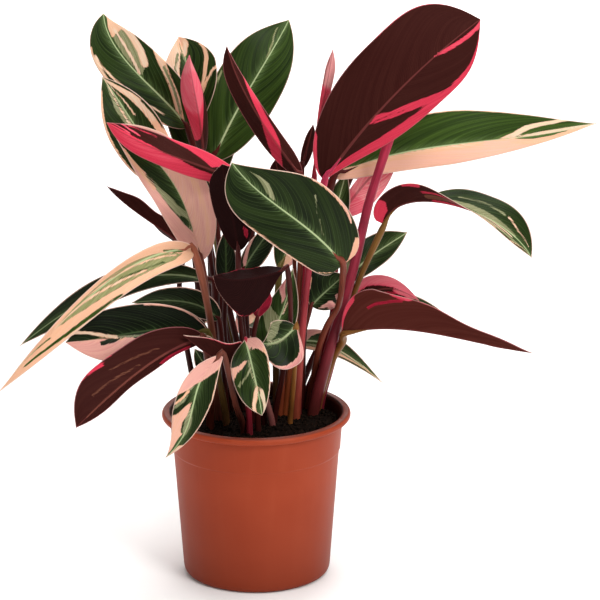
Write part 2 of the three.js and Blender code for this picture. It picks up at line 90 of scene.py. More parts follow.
def add(tree, kind, inputs, out=0, stops=(), **settings):
    """Adds a shader node, sets or links its inputs and a ramp's stops, and gives back one output."""
    made = tree.nodes.new("ShaderNode" + kind)
    for name, value in settings.items():
        setattr(made, name, value)
    for name, value in inputs.items():
        if isinstance(value, bpy.types.NodeSocket):
            tree.links.new(value, made.inputs[name])
        else:
            made.inputs[name].default_value = linear(value) if isinstance(value, str) else value
    if stops:
        elements = made.color_ramp.elements
        elements.remove(elements[1])
        for i, (place, hex_colour) in enumerate(stops):
            stop = elements.new(place) if i else elements[0]
            stop.position = place
            stop.color = linear(hex_colour)
    return made.outputs[out]


def layered(tree, colour, *coats):
    """Coats laid over a colour in turn, each as (where it lies, how much it covers, its colour)."""
    for where, cover, coat in coats:
        share = add(tree, "Math", {0: where, 1: cover}, operation="MULTIPLY", use_clamp=True)
        colour = add(tree, "Mix", {SHARE: share, FIRST: colour, SECOND: coat}, MIXED, data_type="RGBA")
    return colour


def new_material(name):
    material = bpy.data.materials.new(name)
    material.use_nodes = True
    material.node_tree.nodes.clear()
    return material, material.node_tree


def finish_material(material, shader_inputs):
    """Ends a material's tree in a shader, and says how large the tree has become."""
    tree = material.node_tree
    shader = add(tree, "BsdfPrincipled", shader_inputs)
    output = tree.nodes.new("ShaderNodeOutputMaterial")
    tree.links.new(shader, output.inputs["Surface"])
    print(material.name, "has", len(tree.nodes), "shader nodes")


# %% Pieces
MM = 0.001


def new_piece(name, points, faces, materials, node):
    """A mesh object from points in millimetres, which rides on the plant and replaces a CAD node."""
    mesh = bpy.data.meshes.new(name)
    mesh.from_pydata((np.asarray(points) * MM).tolist(), [], faces)
    for material in materials:
        mesh.materials.append(material)
    mesh.shade_smooth()
    piece = bpy.data.objects.new(name, mesh)
    bpy.context.collection.objects.link(piece)
    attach(piece, "root")
    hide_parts(node)
    return piece


# %% [markdown]
# ## The leaves' form
# A triostar leaf is one grown piece: a blade and its stalk. The CAD model gives each one a few named
# values, and the same values are repeated here, because the fine leaf has to lie exactly where its
# solid lies: where the stalk leaves the peat (`foot`), the points it passes (`bend`), four points of
# the midrib (`rib`), the widths of the halves left and right of it (`half`), the turn of the blade
# about its rib at heel and tip (`roll`), and how it is folded, curled and pointed.

# %% The leaves' values, in millimetres and degrees
COMMON = dict(roll=(0, 0), fold=8, curl=0, peak=0.42, point=2.3, heel=1.7, stout=1)

LEAVES = {
    # The tall shoot at the left and its young rolled leaf.
    "leaf_upper_left": dict(
        foot=(-36, 48), bend=[(-45, 52, 269), (-50, 52, 374)],
        rib=[(-68, 48, 449), (-98, 50, 484), (-133, 56, 521), (-151, 72, 560)],
        half=(28, 29), peak=(0.6, 0.42), point=2.6,
    ),
    "leaf_upper_left_edge": dict(
        foot=(-45, 40), bend=[(-58, 44, 273), (-66, 38, 342)],
        rib=[(-85, 24, 395), (-105, 22, 433), (-127, 24, 470), (-151, 34, 504)],
        half=(30, 25), fold=10, peak=0.5, point=2,
    ),
    "leaf_upper_left_inner": dict(
        foot=(-20, 62), bend=[(-37, 64, 266), (-51, 64, 350)],
        rib=[(-58, 62, 408), (-61, 60, 452), (-66, 62, 497), (-77, 74, 536)],
        half=(30, 30), fold=12, peak=(0.52, 0.76), point=(2.6, 1.7), heel=(1.7, 0.25),
    ),
    "leaf_rolled_left": dict(
        foot=(-28, 34), bend=[(-41, 30, 276), (-49, 20, 362)],
        rib=[(-52, 14, 424), (-54, 10, 462), (-60, 8, 498), (-64, 12, 530)],
        half=(20, 34), roll=(170, 190), fold=42, curl=45, peak=(0.62, 0.45), point=1.7,
        heel=(1, 2.2),
    ),
    "leaf_upper_middle": dict(
        foot=(-8, 70), bend=[(-30, 76, 262), (-41, 80, 346)],
        rib=[(-44, 84, 407), (-17, 94, 461), (10, 108, 505), (33, 128, 543)],
        half=(37, 32), point=2.5,
    ),

    # The leaves that spread to the left, from the red one down to the pot's rim.
    "leaf_red_left": dict(
        foot=(-6, 8), bend=[(-10, 0, 285), (-3, -10, 359)],
        rib=[(-5, -28, 406), (-48, -56, 434), (-92, -76, 456), (-139, -90, 486)],
        half=(20, 15), roll=(185, 185), fold=33, point=(4, 5), heel=(1.7, 1),
    ),
    "leaf_peach_left": dict(
        foot=(-34, 10), bend=[(-44, -4, 253)],
        rib=[(-53, -22, 331), (-65, -24, 379), (-90, -32, 428), (-141, -48, 475)],
        half=(26, 30), fold=10, peak=0.58, point=2.4,
    ),
    "leaf_small_left": dict(
        foot=(-60, 34), bend=[(-72, 30, 236), (-77, 25, 292)],
        rib=[(-71, 19, 331), (-92, 21, 350), (-121, 25, 370), (-148, 32, 393)],
        half=(13, 16), roll=(150, 110), fold=40, peak=0.45, point=4,
    ),
    "leaf_long_peach": dict(
        foot=(-37, 0), bend=[(-44, -34, 270)],
        rib=[(-59, -52, 350), (-115, -94, 347), (-178, -128, 305), (-242, -156, 239)],
        half=(21, 11), fold=20, peak=(0.42, 0.2), point=(2.4, 1.05), heel=(2.6, 1.7),
    ),
    "leaf_dark_left": dict(
        foot=(-46, 22), bend=[(-42, 16, 240)],
        rib=[(-41, 6, 300), (-106, 18, 304), (-173, 38, 273), (-243, 62, 217)],
        half=(16, 15), roll=(10, 0), fold=20, peak=(0.5, 0.5), point=2, heel=(0.9, 1.7),
    ),
    "leaf_lower_left": dict(
        foot=(-30, -14), bend=[(-36, -32, 212)],
        rib=[(-46, -41, 262), (-91, -62, 273), (-134, -80, 272), (-183, -90, 268)],
        half=(25, 28), peak=(0.7, 0.6), point=(1.8, 3), heel=(0.9, 1.7),
    ),
    "leaf_lower_left_behind": dict(
        foot=(-30, 2), bend=[(-33, -10, 230)],
        rib=[(-36, -22, 270), (-58, -22, 286), (-88, -10, 287), (-124, 6, 280)],
        half=(13, 15), fold=10,
    ),
    "leaf_maroon_lower_left": dict(
        foot=(-46, -18), bend=[(-45, -34, 207)],
        rib=[(-50, -53, 261), (-88, -98, 258), (-127, -140, 240), (-168, -172, 209)],
        half=(30, 12), roll=(155, 155), fold=25, peak=0.68, point=3.2, heel=(1.7, 5),
    ),
    "leaf_over_rim": dict(
        foot=(-12, -36), bend=[(-20, -66, 200)],
        rib=[(-30, -95, 258), (-54, -113, 231), (-63, -122, 198), (-86, -124, 162)],
        half=(18, 19), fold=14, peak=(0.42, 0.6), point=(1.3, 1.6), heel=(1.3, 1),
    ),

    # The crowd of leaves in the middle.
    "leaf_upright_centre": dict(
        foot=(-4, -6), bend=[(-15, -34, 274)],
        rib=[(-16, -58, 350), (-20, -68, 383), (-26, -76, 415), (-30, -80, 443)],
        half=(24, 18), roll=(180, 180), fold=20, peak=0.55, point=3.2,
    ),
    "leaf_maroon_centre": dict(
        foot=(18, -7), bend=[(34, -34, 264)],
        rib=[(32, -58, 332), (7, -78, 331), (-16, -94, 332), (-39, -108, 340)],
        half=(22, 35), roll=(210, 210), fold=30, peak=(0.34, 0.64), point=(2, 1.25), heel=(1.7, 0.5),
    ),
    "leaf_hanging_centre": dict(
        foot=(-6, -42), bend=[(-8, -52, 215)],
        rib=[(-9, -62, 263), (-5, -74, 249), (2, -84, 221), (7, -88, 193)],
        half=(18, 22), fold=10, peak=(0.4, 0.5), point=(1.8, 2.6), heel=(1.7, 0.55),
    ),
    "leaf_folded_centre": dict(
        foot=(2, -34), bend=[(1, -36, 205)],
        rib=[(-4, -36, 233), (-24, -50, 233), (-46, -66, 249), (-69, -82, 273)],
        half=(26, 27), roll=(105, 105), fold=52, point=1.8,
    ),
    "leaf_young_crimson": dict(
        foot=(8, -8), bend=[(-1, -20, 212), (-2, -32, 254)],
        rib=[(2, -40, 278), (4, -44, 289), (8, -46, 300), (12, -48, 312)],
        half=(11, 11), roll=(180, 180), fold=30, peak=0.5, point=2,
    ),
    "leaf_pink_edge_centre": dict(
        foot=(4, 6), bend=[(-12, -8, 256)],
        rib=[(-12, -24, 322), (-3, -26, 338), (9, -28, 356), (26, -32, 381)],
        half=(10, 14),
    ),
    "leaf_small_centre": dict(
        foot=(34, -8), bend=[(38, -30, 211)],
        rib=[(41, -46, 271), (30, -50, 262), (20, -54, 257), (7, -58, 257)],
        half=(30, 20), peak=(0.5, 0.42), point=3, heel=(0.9, 1.7),
    ),
    "leaf_low_upright_centre": dict(
        foot=(16, -16), bend=[(8, -18, 198)],
        rib=[(9, -20, 236), (18, -16, 257), (28, -12, 281), (37, -6, 319)],
        half=(19, 18),
    ),
    "leaf_front_large": dict(
        foot=(53, 36), bend=[(59, 32, 198), (63, 20, 228), (71, 9, 255), (83, 1, 281)],
        rib=[(86, -58, 337), (50, -90, 383), (12, -110, 418), (-20, -122, 455)],
        half=(33, 43), peak=(0.5, 0.42), point=(5, 1.7), heel=(4, 2.6),
    ),

    # The tall shoot at the right and the leaves that spread from it.
    "leaf_folded_tall": dict(
        foot=(30, 20), bend=[(42, 12, 281), (45, 6, 355)],
        rib=[(46, -2, 410), (17, -8, 452), (-10, -10, 498), (-27, 4, 541)],
        half=(13, 16), roll=(180, 180), fold=40, peak=(0.22, 0.42), point=(2.4, 6),
    ),
    "leaf_behind_front": dict(
        foot=(24, 18), bend=[(38, 26, 278)],
        rib=[(36, 24, 381), (29, 20, 396), (23, 18, 410), (20, 16, 425)],
        half=(14, 12), roll=(180, 180), fold=15,
    ),
    "leaf_sliver": dict(
        foot=(28, 29), bend=[(43, 33, 275)],
        rib=[(46, 32, 410), (50, 32, 428), (54, 34, 443), (57, 38, 455)],
        half=(9, 7), roll=(180, 180), fold=45,
    ),
    "leaf_new_spear": dict(
        foot=(42, 24), bend=[(46, 22, 279), (52, 18, 350)],
        rib=[(58, 14, 406), (61, 12, 450), (68, 12, 490), (76, 14, 535)],
        half=(12, 9), roll=(180, 180), fold=36, curl=50, peak=0.84, point=1.8, heel=0.35,
    ),
    "leaf_top_right_large": dict(
        foot=(40, 12), bend=[(48, 8, 270), (56, -2, 340)],
        rib=[(68, -14, 410), (112, -20, 471), (164, -16, 525), (219, 4, 567)],
        half=(40, 53), roll=(190, 190), fold=14, peak=(0.6, 0.56), point=(3.6, 4.4), heel=(0.8, 1.8),
    ),
    "leaf_long_right": dict(
        foot=(45, 39), bend=[(47, 38, 240), (60, 36, 330)],
        rib=[(77, 34, 401), (156, 46, 426), (245, 70, 432), (346, 112, 439)],
        half=(35, 20), peak=0.47, point=(1.7, 1.4),
    ),
    "leaf_rose_right": dict(
        foot=(48, 54), bend=[(62, 52, 200), (76, 50, 252)],
        rib=[(84, 52, 358), (102, 60, 380), (122, 66, 402), (146, 72, 424)],
        half=(20, 9), roll=(180, 180), fold=10, heel=(1.7, 0.8),
    ),
    "leaf_arching_right": dict(
        foot=(58, 45), bend=[(72, 38, 215), (92, 26, 268), (107, 12, 312)],
        rib=[(127, -14, 366), (163, -38, 396), (222, -72, 389), (265, -104, 357)],
        half=(25, 25), roll=(-145, -5), fold=30, peak=(0.66, 0.42), point=(2, 2.4), heel=(1.7, 2.8),
    ),
    "leaf_right_behind": dict(
        foot=(55, 54), bend=[(72, 56, 200), (84, 61, 250)],
        rib=[(89, 60, 285), (107, 68, 303), (129, 82, 316), (154, 102, 327)],
        half=(19, 14), peak=0.5, point=2.2,
    ),
    "leaf_lower_right_large": dict(
        foot=(62, 35), bend=[(77, 29, 213), (87, 14, 237)],
        rib=[(87, 0, 249), (148, -30, 263), (210, -68, 263), (269, -108, 263)],
        half=(18, 42), roll=(234, 234), fold=40, peak=0.2, point=0.85, heel=(1.7, 1.4),
    ),
    "leaf_pink_lower_right": dict(
        foot=(66, 42), bend=[(76, 44, 200)],
        rib=[(92, 44, 258), (112, 44, 277), (135, 42, 284), (164, 38, 273)],
        half=(18, 18), roll=(180, 180), fold=20, peak=0.4, point=1.5, heel=1.9,
    ),
    "leaf_lower_right_small": dict(
        foot=(30, 52), bend=[(26, 56, 181)],
        rib=[(30, 58, 219), (62, 78, 217), (94, 86, 199), (130, 102, 165)],
        half=(13, 10), peak=0.35, point=(1.5, 1.3),
    ),
    "leaf_centre_right": dict(
        foot=(37, 33), bend=[(44, 31, 223)],
        rib=[(55, 24, 271), (65, 26, 281), (75, 28, 290), (89, 32, 302)],
        half=(28, 18),
    ),
    "leaf_dark_behind_stalks": dict(
        foot=(-14, 30), bend=[(-31, 26, 235)],
        rib=[(-30, 20, 294), (-30, 22, 311), (-30, 24, 330), (-30, 28, 351)],
        half=(11, 11),
    ),
    "leaf_small_dark_left": dict(
        foot=(-43, 11), bend=[(-43, 12, 180)],
        rib=[(-44, 14, 200), (-50, 14, 209), (-56, 14, 219), (-62, 15, 229)],
        half=(9, 9),
    ),
    "leaf_dark_behind_front": dict(
        foot=(45, 47), bend=[(47, 48, 240), (50, 48, 285)],
        rib=[(72, 46, 330), (77, 48, 352), (83, 51, 375), (91, 56, 404)],
        half=(14, 14),
    ),

    # The back of the plant.
    "leaf_back_right_tall": dict(
        foot=(58, 26),
        bend=[(72, 20, 220), (86, 17, 270), (99, 15, 320), (112, 13, 380), (127, 14, 430)],
        rib=[(139, 22, 470), (149, 56, 498), (161, 96, 516), (173, 144, 522)],
        half=(26, 26), roll=(180, 180), fold=10, stout=1.7,
    ),
    "leaf_back_left_tall": dict(
        foot=(6, 76), bend=[(-22, 96, 256)],
        rib=[(-40, 112, 382), (-46, 140, 426), (-58, 176, 453), (-72, 214, 462)],
        half=(26, 26), fold=10,
    ),
    "leaf_back_middle": dict(
        foot=(20, 66), bend=[(19, 82, 228)],
        rib=[(23, 100, 287), (44, 140, 323), (63, 184, 327), (80, 226, 301)],
        half=(24, 24), fold=12,
    ),
    "leaf_back_low_left": dict(
        foot=(-30, 66), bend=[(-34, 76, 200)],
        rib=[(-42, 90, 238), (-83, 130, 233), (-125, 168, 208), (-166, 200, 166)],
        half=(16, 16), fold=12,
    ),
    "leaf_back_low_right": dict(
        foot=(42, 62), bend=[(56, 78, 196)],
        rib=[(81, 98, 238), (125, 122, 245), (172, 152, 227), (216, 180, 194)],
        half=(15, 13), fold=12,
    ),
    "leaf_back_low_middle": dict(
        foot=(-4, 58), bend=[(-1, 84, 206)],
        rib=[(5, 110, 220), (-2, 148, 221), (-7, 186, 201), (-10, 218, 162)],
        half=(20, 20), fold=14,
    ),
    "leaf_back_left": dict(
        foot=(-18, 74), bend=[(-28, 90, 226)],
        rib=[(-42, 104, 318), (-57, 138, 345), (-69, 176, 359), (-77, 214, 365)],
        half=(20, 20), fold=12,
    ),
    "leaf_back_right": dict(
        foot=(35, 60), bend=[(34, 76, 205), (56, 80, 290)],
        rib=[(95, 84, 389), (138, 112, 407), (180, 146, 411), (225, 182, 407)],
        half=(17, 17), fold=12,
    ),
}

# %% Completing the values
NEXT_LEAF_LAG = 0.37  # of a wave: keeps the margins of two leaves from waving alike


def pair_of(value):
    """A value for the left half and one for the right, which may be given as a single one."""
    return value if isinstance(value, tuple) else (value, value)


def complete(index, name, values):
    """A leaf with the common values filled in, its midrib as an array, and its length."""
    leaf = {**COMMON, **values, "name": name, "phase": index * NEXT_LEAF_LAG}
    leaf["rib"] = np.array(leaf["rib"], float)
    for key in ("peak", "point", "heel"):
        leaf[key] = pair_of(leaf[key])
    leaf["length"] = np.linalg.norm(np.diff(leaf["rib"], axis=0), axis=1).sum()
    return leaf


leaves = [complete(index, name, values) for index, (name, values) in enumerate(LEAVES.items())]
longest = max(leaves, key=lambda leaf: leaf["length"])
print(len(leaves), "leaves, the longest is", longest["name"], round(longest["length"]), "mm")

# %% [markdown]
# The midrib is the cubic through its four points. Across it the blade rises by its fold and turns in by
# its curl, and its margin waves a little, as every real blade's does. All of it is the solid's own
# formula, with arrays in place of single numbers, so that a whole grid of points is found at once.

# %% A blade's surface
LEAST_HALF_WIDTH = 0.9  # millimetres: half the solid's blade at the very heel and tip
SHOULDER = 2.2  # how squarely a blade widens from its heel
EDGE_WAVE = 1.6  # millimetres up and down
WAVES = 2.4  # along one margin
RIGHT_EDGE_LAG = 0.35  # of a wave
FACING = math.radians(16)  # how far above level an unturned blade looks, to the front
FRONT = np.array([0, -math.cos(FACING), math.sin(FACING)])
RIB_STEP = 0.001  # of a blade's length, over which the direction of its rib is measured
LEAST_CURL = 1e-6  # radians, so that a flat blade doesn't divide by zero


def unit(vectors):
    return vectors / np.linalg.norm(vectors, axis=-1, keepdims=True)


def rib_at(rib, t):
    """Points on the midrib, for t from 0 at the heel to 1 at the tip."""
    t = np.asarray(t, float)[..., None]
    a, b, c, d = rib
    start = a * ((1 - 3 * t) * (2 - 3 * t) * (1 - t)) / 2 + b * (9 * t * (1 - t) * (2 - 3 * t)) / 2
    return start + c * (9 * t * (1 - t) * (3 * t - 1)) / 2 + d * (t * (3 * t - 1) * (3 * t - 2)) / 2


def outline_at(leaf, t, right):
    """How wide each half is at t, as a share of its widest."""
    keys = ("peak", "point", "heel")
    peak, point, heel = (np.where(right, leaf[key][1], leaf[key][0]) for key in keys)
    below = (1 - np.clip((peak - t) / peak, 0, 1) ** SHOULDER) ** (1 / heel)
    above = 1 - np.clip((t - peak) / (1 - peak), 0, 1) ** point
    return np.where(t < peak, below, above)


def blade_at(leaf, t, w, least=LEAST_HALF_WIDTH, trim=0):
    """The blade's middle surface: t from heel to tip, w from -1 at its left edge to 1 at its right."""
    along = unit(rib_at(leaf["rib"], t + RIB_STEP) - rib_at(leaf["rib"], t - RIB_STEP))
    face = unit(FRONT - (along @ FRONT)[..., None] * along)
    turn = np.radians(leaf["roll"][0] + (leaf["roll"][1] - leaf["roll"][0]) * t)[..., None]
    face = face * np.cos(turn) + np.cross(along, face) * np.sin(turn)
    right = np.cross(along, face)

    is_right = w >= 0
    share = np.abs(w)
    half = np.where(is_right, leaf["half"][1], leaf["half"][0])
    width = np.maximum(half * outline_at(leaf, t, is_right) - trim, least)
    fold = math.radians(leaf["fold"])
    curl = math.radians(leaf["curl"]) + LEAST_CURL
    sideways = (np.sin(fold + curl * share) - math.sin(fold)) / curl
    upwards = (math.cos(fold) - np.cos(fold + curl * share)) / curl
    beat = np.sin(2 * math.pi * (WAVES * t + leaf["phase"] + RIGHT_EDGE_LAG * is_right))
    wave = EDGE_WAVE * share**2 * beat * np.sqrt(np.sin(math.pi * np.clip(t, 0, 1)))
    across = right * (np.sign(w) * sideways * width)[..., None]
    return rib_at(leaf["rib"], t) + across + face * (upwards * width + wave)[..., None]


margins = blade_at(longest, np.array([0.5, 0.5]), np.array([-1, 1]))
print("Halfway along, the longest is", round(math.dist(*margins)), "mm from margin to margin")

# %% [markdown]
# ## The leaves' marks
# A variegated leaf is striped by cell lines that die out of the green. They start at the midrib or the
# heel and run with the side veins, so a cream sector is bounded by veins on its sides and is frayed
# where it ends. Painting that on a picture would need a picture for each leaf. Here each leaf gets a
# few marks instead, painted one over the other: outlines in the leaf's own measures, `t` along its rib
# and `w` across it. Only their distances are stored on the mesh; the shader frays the edges.

# %% How a mark is written
ALL_OVER = ((-1, -9), (2, -9), (2, 9), (-1, 9))


def cream(tone, *outline, band=0):
    """Where the green is missing. Tone runs from 0, cream or deep red, to 1, pink."""
    return dict(kind="cream", tone=tone, outline=outline, band=band)


def green(*outline, band=0):
    """Where the leaf keeps its full colour, cut out of what was painted before."""
    return dict(kind="green", tone=0, outline=outline, band=band)


def pale(*outline, band=0):
    """Where the green is thin: grey-green and olive."""
    return dict(kind="pale", tone=0, outline=outline, band=band)


def blush(tone, *outline):
    """Only changes the tone of the cream."""
    return dict(kind="blush", tone=tone, outline=outline, band=0)


print("A pale band two millimetres wide:", pale((0.2, 0.1), (0.5, 0.3), band=2))

